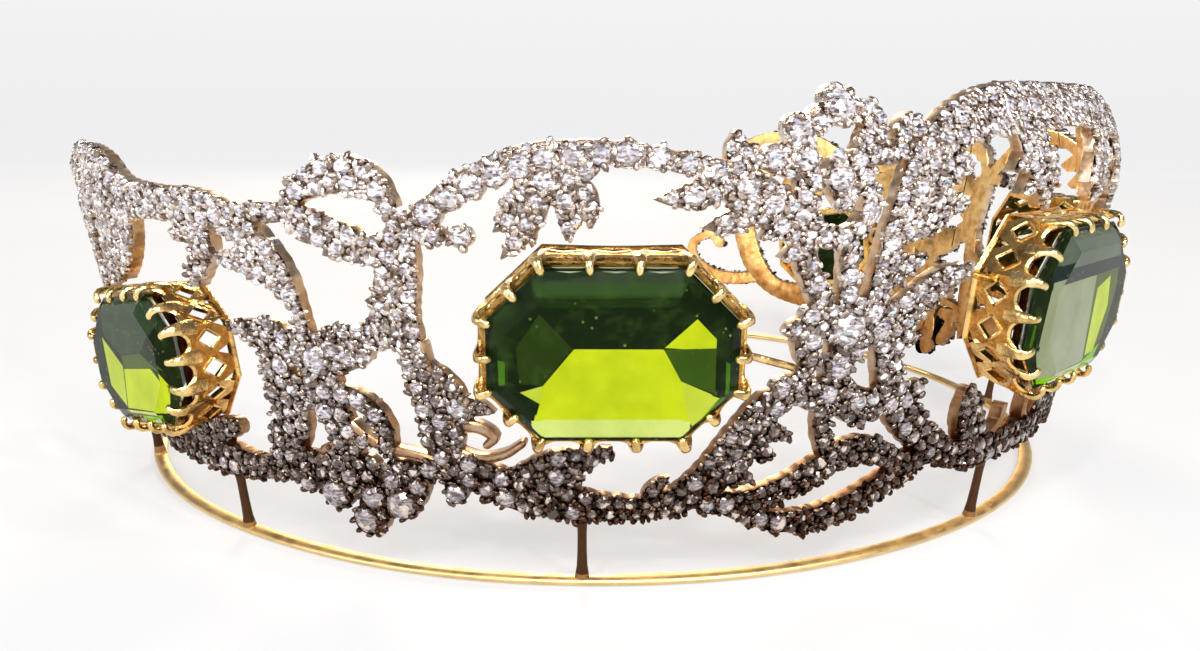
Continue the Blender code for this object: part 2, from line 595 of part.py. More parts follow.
def octagon(inset, size=1.0):
    """The eight corners of the large stone's outline, drawn in by inset, in mm."""
    wide = STONE_HALF_WIDTH * size - inset
    high = STONE_HALF_HEIGHT * size - inset
    corner = max(STONE_CORNER * size - 0.586 * inset, 0.3)
    quarter = ((wide, high - corner), (wide - corner, high))
    return [Vector(point) for point in (
        quarter[0], quarter[1], (-quarter[1][0], quarter[1][1]), (-quarter[0][0], quarter[0][1]),
        (-quarter[0][0], -quarter[0][1]), (-quarter[1][0], -quarter[1][1]),
        (quarter[1][0], -quarter[1][1]), (quarter[0][0], -quarter[0][1]))]


def claw_places(inset, size):
    """The eighteen claws: at each corner, two more on each long side, and one on each other side."""
    corners = octagon(inset, size)
    between = (1, 2, 1, 1, 1, 2, 1, 1)
    found = []
    for index, extra in enumerate(between):
        start, end = corners[index], corners[(index + 1) % 8]
        found.extend(start.lerp(end, step / (extra + 1)) for step in range(extra + 1))
    return found


def loft(bm, rings, closed_ends):
    """Quads between rings of points, with an n-gon at each end if asked."""
    made = [[bm.verts.new(point * MM) for point in ring] for ring in rings]
    for lower, upper in zip(made, made[1:]):
        for index in range(len(lower)):
            after = (index + 1) % len(lower)
            bm.faces.new((lower[index], lower[after], upper[after], upper[index]))
    if closed_ends:
        bm.faces.new(made[0])
        bm.faces.new(made[-1])
    return made


def stone_frame(key):
    """The matrix that puts a large stone and its collet in their place: X along the band, Y up
    and Z outward."""
    angle, height, radius, lean, turn, _ = LARGE_STONES[key]
    place = Vector((0.0, -radius, height)) * MM
    upright = Matrix.Rotation(math.radians(90.0), 4, "X")
    tilt = Matrix.Rotation(math.radians(lean), 4, "X")
    roll = Matrix.Rotation(math.radians(turn), 4, "Z")
    round_axis = Matrix.Rotation(math.radians(angle), 4, "Z")
    return round_axis @ Matrix.Translation(place) @ tilt @ upright @ roll


def make_large_stone(key, name, group):
    size = LARGE_STONES[key][5]
    rings = [[Vector((*point, height * size)) for point in octagon(inset * size, size)]
             for height, inset in STONE_STEPS]
    stone = mesh_object(name, lambda bm: loft(bm, rings, True), group)
    stone.data.transform(stone_frame(key))
    return stone


def clear_of_collet(band, key, tools):
    """Cuts the band back from a collet, so that a small gap is left between them."""
    size = LARGE_STONES[key][5]
    grown = -COLLET_CLEARANCE - COLLET_WALL - PARTING_GAP
    rows = ((-COLLET_DEPTH - PARTING_GAP, grown + COLLET_BACK_INSET), (0.0, grown), (CLAW_RISE + 1.0, grown))
    rings = [[Vector((*point, height)) for point in octagon(inset, size)] for height, inset in rows]
    room = mesh_object("collet_room", lambda bm: loft(bm, rings, True), tools)
    room.data.transform(stone_frame(key))
    apply_boolean(band, "DIFFERENCE", tools)


def collet_wall(bm, size):
    """The collet: a wall that narrows towards its back, pierced with a lozenge between each two
    claws. The wall's front edge dips between the claws, and the claws rise from it."""
    def skin(inset):
        """Rows of points on one side of the wall: back edge, claws' feet and tips, dips and lozenges."""
        places = claw_places(inset, size)
        count = len(places)
        tips = claw_places(inset + CLAW_LEAN, size)

        def at(place, height):
            drawn = COLLET_BACK_INSET * max(-height, 0.0) / COLLET_DEPTH
            shrunk = place - place.normalized() * drawn
            return bm.verts.new(Vector((*shrunk, height)) * MM)

        rows = []
        for index, place in enumerate(places):
            after, before = places[(index + 1) % count], places[index - 1]
            right = (after - place).normalized() * CLAW_THICKNESS / 2
            left = (before - place).normalized() * CLAW_THICKNESS / 2
            span = (after - place).length
            middle = place.lerp(after, 0.5)
            half = (after - place).normalized() * span * WINDOW_SHARE
            rows.append({
                "back": at(place, -COLLET_DEPTH),
                "left": at(place + left, -RIM_DROP), "right": at(place + right, -RIM_DROP),
                "tip_left": at(tips[index] + left * 0.8, CLAW_RISE),
                "tip_right": at(tips[index] + right * 0.8, CLAW_RISE),
                "dip": at(middle, -RIM_DROP - SCALLOP_DEPTH * min(span / 4.0, 1.0)),
                "low": at(middle, -WINDOW_DEPTH - WINDOW_HEIGHT), "high": at(middle, -WINDOW_DEPTH + WINDOW_HEIGHT),
                "window_left": at(middle - half, -WINDOW_DEPTH), "window_right": at(middle + half, -WINDOW_DEPTH),
            })
        return rows

    outer, inner = skin(-COLLET_CLEARANCE - COLLET_WALL), skin(-COLLET_CLEARANCE)
    count = len(outer)
    for index in range(count):
        here, there = (outer[index], outer[(index + 1) % count]), (inner[index], inner[(index + 1) % count])
        for (row, after), turned in ((here, False), (there, True)):
            faces = [
                (row["back"], after["back"], row["low"]),
                (row["back"], row["low"], row["window_left"]),
                (row["back"], row["window_left"], row["right"]),
                (row["right"], row["window_left"], row["high"], row["dip"]),
                (after["back"], row["window_right"], row["low"]),
                (after["back"], after["left"], row["window_right"]),
                (after["left"], row["dip"], row["high"], row["window_right"]),
                (row["back"], row["right"], row["left"]),
                (row["left"], row["right"], row["tip_right"], row["tip_left"]),
            ]
            for face in faces:
                bm.faces.new(reversed(face) if turned else face)
        (row, after), (row_in, after_in) = here, there
        edges = (("right", "dip"), ("tip_right", "right"), ("tip_left", "tip_right"), ("left", "tip_left"))
        for first, second in edges:
            bm.faces.new((row[first], row[second], row_in[second], row_in[first]))
        bm.faces.new((row["dip"], after["left"], after_in["left"], row_in["dip"]))
        bm.faces.new((after["back"], row["back"], row_in["back"], after_in["back"]))
        window = ("low", "window_right", "high", "window_left")
        for first, second in zip(window, window[1:] + window[:1]):
            bm.faces.new((row[first], row[second], row_in[second], row_in[first]))


def peg(name, start, end, thickness, sides, group, end_thickness=None):
    """A straight round peg from start to end, in metres."""
    along = end - start
    turn = along.to_track_quat("Z", "X").to_matrix().to_4x4()

    def build(bm):
        bmesh.ops.create_cone(bm, cap_ends=True, segments=sides, radius1=thickness / 2 * MM,
                              radius2=(end_thickness or thickness) / 2 * MM, depth=along.length)
        bmesh.ops.transform(bm, verts=bm.verts, matrix=Matrix.Translation((start + end) / 2) @ turn)
    return mesh_object(name, build, group)


def make_collet(key, name, group, tools):
    """A pierced gold collet with eighteen claws, and the bars that tie it to the scrolls."""
    size = LARGE_STONES[key][5]
    frame = stone_frame(key)
    collet = mesh_object(name, lambda bm: collet_wall(bm, size), group)
    collet.data.transform(frame)
    for stone, wall_angle, wall_height, far_angle, far_height in COLLET_BARS:
        if stone == key:
            near = on_band(wall_angle + SIDE_STONE_ANGLE, wall_height, 0.6)
            far = on_band(far_angle + SIDE_STONE_ANGLE, far_height, 0.6)
            peg("bar", near, far, BAR_THICKNESS, 6, tools)
            if key == "front":
                peg("bar", near * Vector((-1, 1, 1)), far * Vector((-1, 1, 1)), BAR_THICKNESS, 6, tools)
    if tools.objects:
        apply_boolean(collet, "UNION", tools)
    return collet


def make_round_stone(name, angle, height, diameter, group):
    """A round main stone with a table and eight crown facets, in its seat."""
    radius = diameter / 2
    girdle = SETTING_FRONT - 0.25
    rows = ((girdle + 0.75, radius * 0.55), (girdle + 0.1, radius), (girdle - 0.1, radius),
            (SETTING_FRONT - 0.6, radius * 0.55))

    def build(bm):
        rings = []
        for out, size in rows:
            rings.append([Vector((size * math.cos(turn), size * math.sin(turn), out))
                          for turn in (math.tau * step / 8 for step in range(8))])
        loft(bm, rings, True)

    stone = mesh_object(name, build, group)
    for vert in stone.data.vertices:
        x, y, out = vert.co / MM
        turned = angle + SIDE_STONE_ANGLE + math.degrees(x / band_radius(height))
        vert.co = on_band(turned, height + y, out)
    return stone


def make_hoop(group, tools):
    """The hoop's flattened wire and its posts, soldered in one. A flat facet of the wire is underneath."""
    curve = bpy.data.curves.new("hoop", "CURVE")
    curve.dimensions = "3D"
    curve.twist_mode = "Z_UP"
    curve.bevel_depth = HOOP_WIDTH / 2 / math.cos(math.pi / 8) * MM
    curve.bevel_resolution = 2
    curve.use_fill_caps = True
    spline = curve.splines.new("POLY")
    spline.points.add(HOOP_POINTS - 1)
    for index, point in enumerate(spline.points):
        turn = math.radians(HOOP_HALF_ANGLE * (2 * index / (HOOP_POINTS - 1) - 1))
        place = Vector((math.sin(turn), -math.cos(turn), 0.0)) * HOOP_RADIUS * MM
        point.co = (*place, 1.0)
        point.tilt = math.pi / 8
    wire = new_object("hoop", curve, group)
    wire.scale.z = HOOP_THICKNESS / HOOP_WIDTH
    wire.location.z = HOOP_THICKNESS / 2 * MM
    bpy.context.view_layer.update()
    hoop = curve_to_mesh(wire, group)
    hoop.data.transform(hoop.matrix_world)
    hoop.matrix_world = Matrix.Identity(4)
    hoop.name = "base_hoop"
    for angle, top in POSTS:
        turn = math.radians(angle)
        foot = Vector((math.sin(turn), -math.cos(turn), 0.0)) * HOOP_RADIUS * MM
        foot.z = HOOP_THICKNESS / 2 * MM
        head = on_band(angle, top)
        peg("post", foot, head, POST_THICKNESS * 1.25, 6, tools, POST_THICKNESS)
    apply_boolean(hoop, "UNION", tools)
    return hoop


def set_on_origin(group):
    """Moves the whole so that the origin is midway between its front and back, on the ground."""
    places = [vert.co for obj in group.objects for vert in obj.data.vertices]
    low = min(place.y for place in places)
    high = max(place.y for place in places)
    move = Matrix.Translation((0.0, -(low + high) / 2, 0.0))
    for obj in group.objects:
        obj.data.transform(move)


def finish_object(obj, material):
    obj.data.materials.clear()
    obj.data.materials.append(material)
    obj.data.shade_smooth()
    obj.data.set_sharp_from_angle(angle=math.radians(25.0))


def main():
    clear_scene()
    finishes = make_finishes()
    group = new_collection("tiara")
    tools = new_collection("tiara_cutters")
    tools.hide_render = True

    finish_object(make_hoop(group, tools), finishes["gold"])
    for name, (_, end) in SECTIONS.items():
        section = band_section(name, group, tools)
        for key in COLLETS_BESIDE[name]:
            clear_of_collet(section, key, tools)
        finish_object(section, finishes["silver"])
        if end < FRONT:
            section.name = name + "_left"
            mirror_copy(section, name + "_right", group)
    for key in LARGE_STONES:
        end = "" if key == "front" else "_left"
        collet = make_collet(key, "collet_" + key + end, group, tools)
        finish_object(collet, finishes["gold"])
        stone = make_large_stone(key, "green_stone_" + key + end, group)
        finish_object(stone, finishes["green_stone"])
        if key != "front":
            mirror_copy(collet, "collet_" + key + "_right", group)
            mirror_copy(stone, "green_stone_" + key + "_right", group)
    for number, (_, angle, height, diameter) in enumerate(MAIN_STONES, start=1):
        stone = make_round_stone(f"round_stone_{number}_left", angle, height, diameter, group)
        finish_object(stone, finishes["clear_stone"])
        mirror_copy(stone, f"round_stone_{number}_right", group)
    set_on_origin(group)


main()
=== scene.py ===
"""The tiara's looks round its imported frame: pierced scrolls set with white stones in silver-fronted
gilt metal, pierced gold claw collets with step-cut green stones, and the gold wire hoop.

The band is laid out on a flat sheet, as part.py does, and every shape is then bent onto its cone.
Sheet coordinates are x along the band, y upwards and out from the band, all in millimetres.
"""

import math
import random

import bmesh
import bpy
import numpy as np
from mathutils import Matrix, Vector

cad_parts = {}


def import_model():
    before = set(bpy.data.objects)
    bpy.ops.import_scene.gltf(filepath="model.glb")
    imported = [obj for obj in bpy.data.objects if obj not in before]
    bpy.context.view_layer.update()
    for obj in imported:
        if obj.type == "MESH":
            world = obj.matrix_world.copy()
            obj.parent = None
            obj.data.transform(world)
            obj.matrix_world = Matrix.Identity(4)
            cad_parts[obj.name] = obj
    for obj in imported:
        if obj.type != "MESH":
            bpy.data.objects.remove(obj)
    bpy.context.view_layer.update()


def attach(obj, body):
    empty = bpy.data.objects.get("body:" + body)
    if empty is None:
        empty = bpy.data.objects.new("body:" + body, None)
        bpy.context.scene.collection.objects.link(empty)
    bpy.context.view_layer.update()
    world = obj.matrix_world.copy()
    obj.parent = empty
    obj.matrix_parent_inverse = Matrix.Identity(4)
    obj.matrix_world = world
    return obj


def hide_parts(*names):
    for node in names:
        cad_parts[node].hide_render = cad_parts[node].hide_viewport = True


MM = 0.001

# The frame's sizes, as in part.py, in millimetres and degrees
HOOP_RADIUS = 75.4
HOOP_WIDTH = 2.2
HOOP_THICKNESS = 1.15
HOOP_HALF_ANGLE = 139.94
BAND_RADIUS = 75.0
BAND_FLARE = math.tan(math.radians(10.0))
CURVE_IN_FROM = 44.0
CURVE_IN = 0.028
SHEET_RADIUS = 80.0
BAND_BACK = -0.7
BAND_FRONT = 1.0
SETTING_FRONT = 1.5
AXIS_SHIFT = 14.7203
BAND_TOP = 59.03
SIDE_STONE_ANGLE = -45.0
FRONT = 45.0
MIDDLE_X = math.radians(FRONT) * SHEET_RADIUS

SECTIONS = {
    "front_arch": (33.5, 56.5),
    "front_lower_scroll": (33.5, 56.5),
    "inner_spray": (2.5, 33.5),
    "side_arch": (-19.3, 2.5),
    "outer_spray": (-33.5, -19.3),
    "back_arch": (-80.0, -33.5),
}

# Scrolls: the sections that each is in, then a row for each point with its angle in degrees,
# its height and its width in mm
SCROLLS = (
    # The arch and pendant over the front stone, and the scroll below it
    (("front_arch", "inner_spray"),
     ((21.6, 33.6, 2.9), (22.0, 38.5, 3.2), (22.7, 44.0, 3.6), (24.0, 49.0, 4.0),
      (26.6, 52.6, 4.4), (30.6, 54.8, 5.2), (36.0, 56.0, 5.6), (45.0, 56.4, 5.3))),
    (("front_arch",), ((37.0, 54.0, 5.4), (37.8, 50.6, 5.4), (38.7, 47.4, 3.6), (39.5, 44.6, 1.8))),
    (("front_lower_scroll", "inner_spray"),
     ((23.6, 29.6, 4.2), (24.2, 25.6, 3.6), (25.4, 22.2, 4.4), (27.4, 19.0, 4.6),
      (30.0, 15.8, 3.9), (33.4, 13.1, 3.6), (38.0, 11.8, 4.3), (45.0, 12.2, 4.2))),
    (("front_lower_scroll",), ((38.6, 12.4, 4.6), (37.0, 15.4, 5.2), (35.7, 18.4, 4.6), (35.2, 20.9, 2.0))),
    # The leafy branch between the side arch and the middle spray
    (("side_arch", "inner_spray"),
     ((-14.6, 42.2, 3.0), (-12.6, 45.3, 2.6), (-9.8, 48.1, 2.7), (-6.0, 50.5, 2.5),
      (-0.4, 50.9, 2.7), (4.2, 50.2, 2.3), (8.0, 48.9, 2.6))),
    (("inner_spray",),
     ((7.6, 49.0, 2.6), (9.6, 47.3, 4.8), (12.6, 44.6, 4.5), (14.4, 42.0, 3.2),
      (15.2, 38.6, 2.6), (16.9, 34.4, 2.6))),
    (("inner_spray",), ((10.2, 50.3, 1.6), (12.0, 50.3, 3.2), (13.8, 49.6, 3.3), (15.4, 47.8, 1.6))),
    # The flower's ring and stems
    (("inner_spray",),
     ((18.4, 50.6, 2.1), (19.3, 47.6, 2.0), (19.7, 44.8, 2.2), (18.6, 42.4, 2.3), (16.9, 41.8, 2.3),
      (15.2, 43.0, 2.4), (14.3, 45.2, 2.4), (14.2, 48.0, 2.2))),
    (("inner_spray",), ((18.3, 42.0, 2.0), (18.6, 39.4, 2.3), (19.0, 34.2, 2.3))),
    (("inner_spray",), ((14.0, 52.4, 2.2), (14.2, 50.2, 2.2))),
    (("inner_spray",), ((14.6, 53.6, 2.4), (16.8, 55.2, 2.6), (20.2, 54.9, 2.8), (19.4, 51.4, 3.2), (18.4, 50.0, 2.4))),
    (("inner_spray",), ((19.2, 50.4, 2.2), (21.6, 51.0, 2.2), (24.4, 52.6, 2.2))),
    # The middle spray
    (("inner_spray",),
     ((14.4, 31.4, 1.8), (16.4, 32.2, 3.8), (19.4, 32.6, 4.6), (22.0, 31.8, 5.6), (24.6, 30.6, 4.4))),
    (("inner_spray",), ((15.8, 31.6, 3.0), (15.9, 29.2, 2.9), (16.4, 27.0, 2.0), (14.8, 25.0, 1.7))),
    (("inner_spray",), ((23.4, 30.4, 4.2), (25.2, 33.2, 4.2), (28.0, 36.1, 3.4), (30.8, 37.3, 1.6))),
    (("inner_spray",), ((19.2, 31.0, 3.6), (19.0, 26.8, 3.2), (18.6, 23.4, 3.2))),
    (("inner_spray",),
     ((14.6, 25.2, 2.2), (16.8, 23.7, 3.8), (20.0, 22.6, 4.4), (22.4, 21.5, 4.2), (25.6, 22.4, 3.2))),
    (("inner_spray",), ((18.2, 22.0, 2.4), (18.5, 18.4, 2.0), (19.6, 15.4, 2.2))),
    # The two swirling leaves below the middle spray
    (("inner_spray",),
     ((8.4, 10.6, 2.8), (12.0, 10.5, 3.0), (16.0, 12.1, 3.2), (20.2, 15.0, 3.6), (22.5, 15.8, 3.6),
      (25.0, 15.0, 3.1), (28.0, 13.0, 3.0), (31.6, 13.6, 3.4))),
    (("inner_spray",),
     ((10.6, 9.9, 2.2), (14.0, 7.9, 2.5), (18.0, 7.1, 3.2), (22.0, 8.1, 3.4), (26.0, 10.4, 3.4),
      (29.8, 12.6, 3.0))),
    # The long scroll below the side stone
    (("side_arch", "inner_spray"),
     ((-13.6, 17.0, 3.8), (-11.4, 14.4, 4.2), (-8.0, 12.4, 4.8), (-4.0, 11.2, 4.8), (0.0, 10.4, 3.4),
      (4.6, 10.5, 3.1), (8.4, 13.3, 4.8), (11.4, 18.4, 5.4), (13.2, 22.4, 4.2), (15.0, 24.4, 2.2))),
    (("side_arch",), ((-7.4, 13.2, 4.0), (-4.6, 15.2, 4.4), (-1.8, 16.6, 3.0), (0.2, 17.6, 1.2))),
    # The side stone's trunk
    (("side_arch",),
     ((-15.3, 43.4, 3.0), (-15.9, 38.6, 4.7), (-16.5, 34.0, 5.2), (-15.6, 29.8, 3.2), (-15.2, 27.2, 3.4),
      (-13.6, 23.4, 6.4), (-13.6, 19.0, 5.4), (-13.4, 15.4, 3.8))),
    (("side_arch",), ((-1.4, 49.8, 2.6), (-3.6, 48.2, 4.6), (-6.4, 46.0, 3.0))),
    # The hooked leaf and the wavy leaf left of the trunk
    (("side_arch", "outer_spray"),
     ((-15.8, 43.0, 1.6), (-16.5, 46.0, 2.5), (-18.1, 47.7, 4.0), (-20.6, 48.2, 4.2), (-23.0, 47.0, 3.2),
      (-24.8, 45.0, 1.6))),
    (("side_arch", "outer_spray"),
     ((-15.9, 41.2, 3.4), (-17.8, 40.2, 3.4), (-20.2, 40.9, 4.2), (-23.2, 42.9, 3.4), (-25.8, 43.9, 2.2),
      (-29.6, 43.6, 1.8))),
    # The link to the outer spray
    (("side_arch", "outer_spray"),
     ((-16.0, 31.0, 3.4), (-19.0, 30.2, 3.2), (-21.0, 28.8, 5.4), (-24.4, 27.6, 5.0), (-28.4, 28.6, 3.6))),
    (("side_arch", "outer_spray"),
     ((-24.2, 23.0, 2.8), (-21.6, 22.6, 2.6), (-19.7, 21.2, 2.6), (-18.7, 19.0, 2.4), (-18.7, 16.2, 2.0))),
    (("side_arch",), ((-18.4, 14.1, 2.4), (-16.2, 13.9, 2.8), (-13.6, 14.8, 2.6))),
    (("side_arch",), ((-15.9, 14.0, 2.2), (-16.4, 11.4, 3.0), (-17.6, 8.6, 2.6))),
    # The outer spray's columns
    (("outer_spray",),
     ((-24.3, 27.0, 4.6), (-24.2, 23.0, 5.2), (-23.2, 19.0, 4.2), (-22.6, 16.0, 3.5), (-22.2, 13.4, 3.2))),
    (("outer_spray",),
     ((-28.6, 29.2, 4.0), (-28.9, 25.4, 4.6), (-28.2, 20.4, 5.6), (-28.8, 16.6, 5.2), (-30.2, 12.4, 3.2))),
    (("outer_spray",), ((-28.0, 22.8, 4.0), (-24.4, 22.2, 4.2))),
    (("outer_spray",), ((-22.8, 16.4, 2.6), (-20.6, 17.2, 2.0))),
    (("outer_spray",), ((-21.4, 13.6, 2.4), (-20.7, 11.2, 3.2), (-20.8, 8.6, 4.4), (-20.7, 6.2, 3.0))),
    (("outer_spray",), ((-22.4, 13.0, 2.6), (-23.6, 10.9, 3.5), (-25.0, 9.2, 2.6))),
    (("outer_spray",), ((-25.7, 34.0, 2.0), (-27.2, 36.6, 3.6), (-29.6, 37.8, 3.8), (-32.7, 37.7, 1.3))),
    (("outer_spray", "back_arch"),
     ((-25.2, 28.6, 2.2), (-25.4, 32.6, 1.5), (-26.1, 36.6, 2.0), (-27.8, 39.8, 2.8), (-30.4, 42.2, 4.0),
      (-34.4, 43.7, 4.4), (-40.0, 43.9, 4.2), (-45.6, 44.1, 5.2), (-49.6, 46.2, 6.0), (-54.2, 47.5, 5.4),
      (-58.6, 47.7, 4.4), (-62.6, 46.8, 2.0))),
    (("outer_spray",), ((-28.6, 28.8, 4.0), (-31.0, 29.2, 3.2), (-32.9, 29.6, 1.4))),
    (("outer_spray", "back_arch"),
     ((-20.6, 14.0, 2.6), (-23.0, 13.3, 3.5), (-28.0, 12.7, 3.7), (-33.0, 11.0, 3.2), (-40.0, 11.2, 5.0),
      (-48.0, 11.9, 5.2), (-54.4, 13.2, 4.2), (-58.6, 18.0, 5.0), (-61.0, 25.0, 5.2), (-61.8, 31.6, 5.8),
      (-60.6, 37.8, 6.0), (-57.8, 43.0, 5.8), (-55.0, 46.4, 4.6))),
    # The back stone's pendants and the back end
    (("back_arch",), ((-46.6, 43.0, 5.0), (-47.8, 39.8, 5.4), (-49.6, 36.6, 4.8), (-51.6, 33.6, 2.6))),
    (("back_arch",), ((-51.4, 44.6, 5.4), (-52.4, 40.8, 5.8), (-53.4, 37.2, 5.0), (-55.2, 33.0, 3.4))),
    (("back_arch",), ((-34.6, 42.4, 4.2), (-34.9, 39.4, 4.0), (-35.5, 37.2, 2.6), (-36.8, 34.8, 1.8))),
    (("back_arch",), ((-43.4, 12.2, 3.0), (-40.0, 14.0, 3.8), (-36.0, 15.9, 2.4))),
    (("back_arch",), ((-60.0, 40.4, 3.2), (-63.6, 39.6, 4.0), (-67.2, 40.8, 3.4), (-70.2, 43.4, 1.8))),
    (("back_arch",),
     ((-57.0, 15.8, 3.0), (-61.6, 14.4, 3.0), (-66.4, 14.9, 3.0), (-70.2, 18.2, 2.6), (-70.6, 22.4, 2.2),
      (-67.6, 24.8, 2.0), (-65.6, 22.6, 2.4))),
)

# Smooth curls without stones, in the same form
CURLS = (
    (("side_arch",), ((-12.8, 20.3, 1.7), (-10.4, 20.1, 1.5), (-9.2, 19.0, 1.3), (-9.8, 18.0, 1.0))),
    (("side_arch",), ((-13.2, 17.4, 1.3), (-10.6, 16.3, 1.2), (-8.4, 16.9, 1.1), (-6.8, 18.4, 0.9))),
    (("side_arch", "outer_spray"),
     ((-21.8, 19.2, 1.2), (-20.6, 17.6, 1.5), (-18.4, 16.5, 1.4), (-15.8, 16.0, 1.3), (-13.4, 15.0, 1.6))),
    (("outer_spray",), ((-25.0, 15.2, 1.5), (-23.2, 16.5, 1.4), (-21.6, 17.0, 0.9))),
    (("side_arch",), ((-14.6, 29.8, 1.0), (-14.1, 26.6, 1.1), (-12.4, 24.2, 1.1), (-10.0, 22.2, 0.9))),
    (("front_lower_scroll",), ((40.4, 13.0, 2.0), (42.2, 14.9, 1.6), (42.4, 17.2, 1.3))),
)

# Leaves: section, angle and height at the root, angle and height at the tip, and width
LEAVES = (
    ("front_arch", 37.6, 51.4, 34.5, 48.6, 2.6),
    ("front_arch", 38.4, 49.2, 35.9, 45.8, 2.4),
    ("front_arch", 38.0, 50.4, 41.2, 46.4, 2.6),
    ("inner_spray", 8.6, 47.7, 3.1, 46.2, 2.9),
    ("inner_spray", 11.0, 45.2, 6.6, 43.2, 2.7),
    ("inner_spray", 13.2, 44.2, 11.0, 41.9, 2.0),
    ("inner_spray", 15.0, 41.2, 12.8, 39.8, 2.2),
    ("inner_spray", 9.7, 48.8, 9.0, 53.2, 3.2),
    ("inner_spray", 16.7, 50.6, 17.3, 44.6, 3.9),
    ("inner_spray", 22.4, 51.4, 23.9, 55.3, 2.6),
    ("inner_spray", 21.8, 36.4, 25.8, 39.2, 3.2),
    ("inner_spray", 23.4, 46.6, 29.8, 50.2, 4.2),
    ("inner_spray", 22.8, 43.2, 29.2, 45.2, 3.8),
    ("inner_spray", 22.2, 41.6, 27.3, 42.9, 2.6),
    ("inner_spray", 26.2, 20.6, 28.5, 23.8, 2.8),
    ("inner_spray", 19.8, 21.8, 22.8, 18.9, 2.8),
    ("inner_spray", 12.8, 19.8, 15.6, 18.3, 2.2),
    ("inner_spray", 11.8, 17.2, 14.4, 16.2, 2.2),
    ("inner_spray", 10.0, 14.6, 12.6, 13.3, 2.2),
    ("inner_spray", 3.2, 11.0, 5.3, 14.3, 2.0),
    ("side_arch", -5.4, 47.0, -8.4, 42.6, 2.7),
    ("side_arch", -4.8, 47.0, -7.9, 39.7, 2.9),
    ("side_arch", -2.9, 48.6, -3.1, 41.8, 3.3),
    ("side_arch", -2.2, 48.2, -1.3, 43.1, 2.6),
    ("side_arch", -5.9, 44.0, -5.6, 41.0, 1.3),
    ("side_arch", -5.6, 13.0, -1.7, 14.0, 2.2),
    ("side_arch", -12.4, 22.6, -9.0, 22.0, 2.4),
    ("side_arch", -12.7, 14.8, -13.2, 10.0, 3.2),
    ("side_arch", -15.4, 35.4, -19.0, 34.4, 2.6),
    ("side_arch", -15.8, 33.0, -19.2, 32.2, 2.6),
    ("outer_spray", -21.0, 42.2, -24.5, 41.0, 2.0),
    ("outer_spray", -19.9, 41.8, -22.2, 39.3, 2.6),
    ("outer_spray", -25.8, 13.4, -23.2, 16.0, 1.8),
    ("outer_spray", -28.0, 13.0, -28.0, 9.4, 2.6),
    ("back_arch", -34.8, 41.0, -38.8, 40.3, 2.6),
    ("back_arch", -35.2, 38.2, -38.0, 35.2, 2.2),
    ("side_arch", -14.6, 42.4, -11.7, 41.7, 2.6),
)

# Round settings of the main stones: section, angle, height and stone diameter. Each holds a
# stone of its own.
MAIN_STONES = (
    ("inner_spray", 19.4, 31.3, 4.2),
    ("inner_spray", 19.0, 26.9, 3.2),
    ("inner_spray", 17.5, 55.9, 3.6),
    ("inner_spray", 13.9, 53.2, 2.8),
    ("side_arch", -11.9, 22.4, 2.6),
    ("outer_spray", -24.4, 26.8, 3.6),
)
# Rows of graded stones along a scroll: first and last point (degrees, height), the bow of the
# row in mm, how many, and their diameter
STONE_ROWS = (
    ((34.8, 56.0), (45.0, 56.4), 0.0, 6, 2.3),
    ((22.1, 41.0), (26.6, 52.6), 0.7, 5, 2.3),
    ((-13.2, 44.4), (1.2, 50.8), 2.0, 9, 2.6),
    ((3.4, 50.4), (7.6, 49.0), 0.2, 3, 2.2),
    ((-27.6, 39.6), (-32.2, 43.0), 0.5, 3, 2.3),
    ((-35.4, 43.9), (-45.6, 44.9), -0.2, 5, 2.4),
)
# Single stones in cups, in the drops and the flower: degrees, height, diameter
CUP_STONES = (
    (-24.5, 9.6, 3.8), (-21.6, 6.6, 3.6), (-20.6, 9.9, 3.2), (-17.9, 9.5, 3.8), (-27.5, 10.4, 2.2),
    (-22.8, 12.2, 2.2), (-18.6, 12.4, 2.2), (-16.2, 12.0, 2.2), (-12.8, 11.6, 2.4), (-26.0, 27.6, 2.2), (-22.6, 28.4, 2.4), (-21.2, 27.6, 2.2),
    (-10.8, 42.0, 2.1), (-4.6, 48.0, 2.3), (-3.2, 46.0, 2.1), (14.1, 50.4, 2.8), (11.8, 50.4, 2.5),
    (17.0, 48.3, 3.0), (24.0, 53.6, 2.2),
    (16.0, 33.0, 2.2), (21.4, 33.0, 2.4), (22.6, 30.8, 2.6), (16.2, 30.2, 2.2), (20.4, 28.4, 2.0),
    (14.2, 24.6, 2.2), (18.4, 23.4, 2.6), (21.4, 22.2, 2.4), (9.8, 47.4, 2.5), (11.8, 45.6, 2.3),
)

LARGE_STONES = {
    "front": (0.0, 31.4, 85.2, 6.0, 0.0, 1.055),
    "side": (-44.7, 29.9, 84.6, 6.7, 0.0, 1.0),
    "back": (-90.0, 23.4, 84.0, 4.0, 9.0, 0.865),
}
STONE_HALF_WIDTH = 13.3
STONE_HALF_HEIGHT = 9.55
STONE_CORNER = 5.7
COLLET_CLEARANCE = 0.4
COLLET_WALL = 0.8
COLLET_DEPTH = 7.6
COLLET_BACK_INSET = 1.0
COLLET_RAIL = 0.75
WINDOW_DEPTH = 4.25
WINDOW_HEIGHT = 1.65
WINDOW_SHARE = 0.37
CORNER_WINDOW = 1.7
RIM_DIP = 1.8
COLUMNS = 12
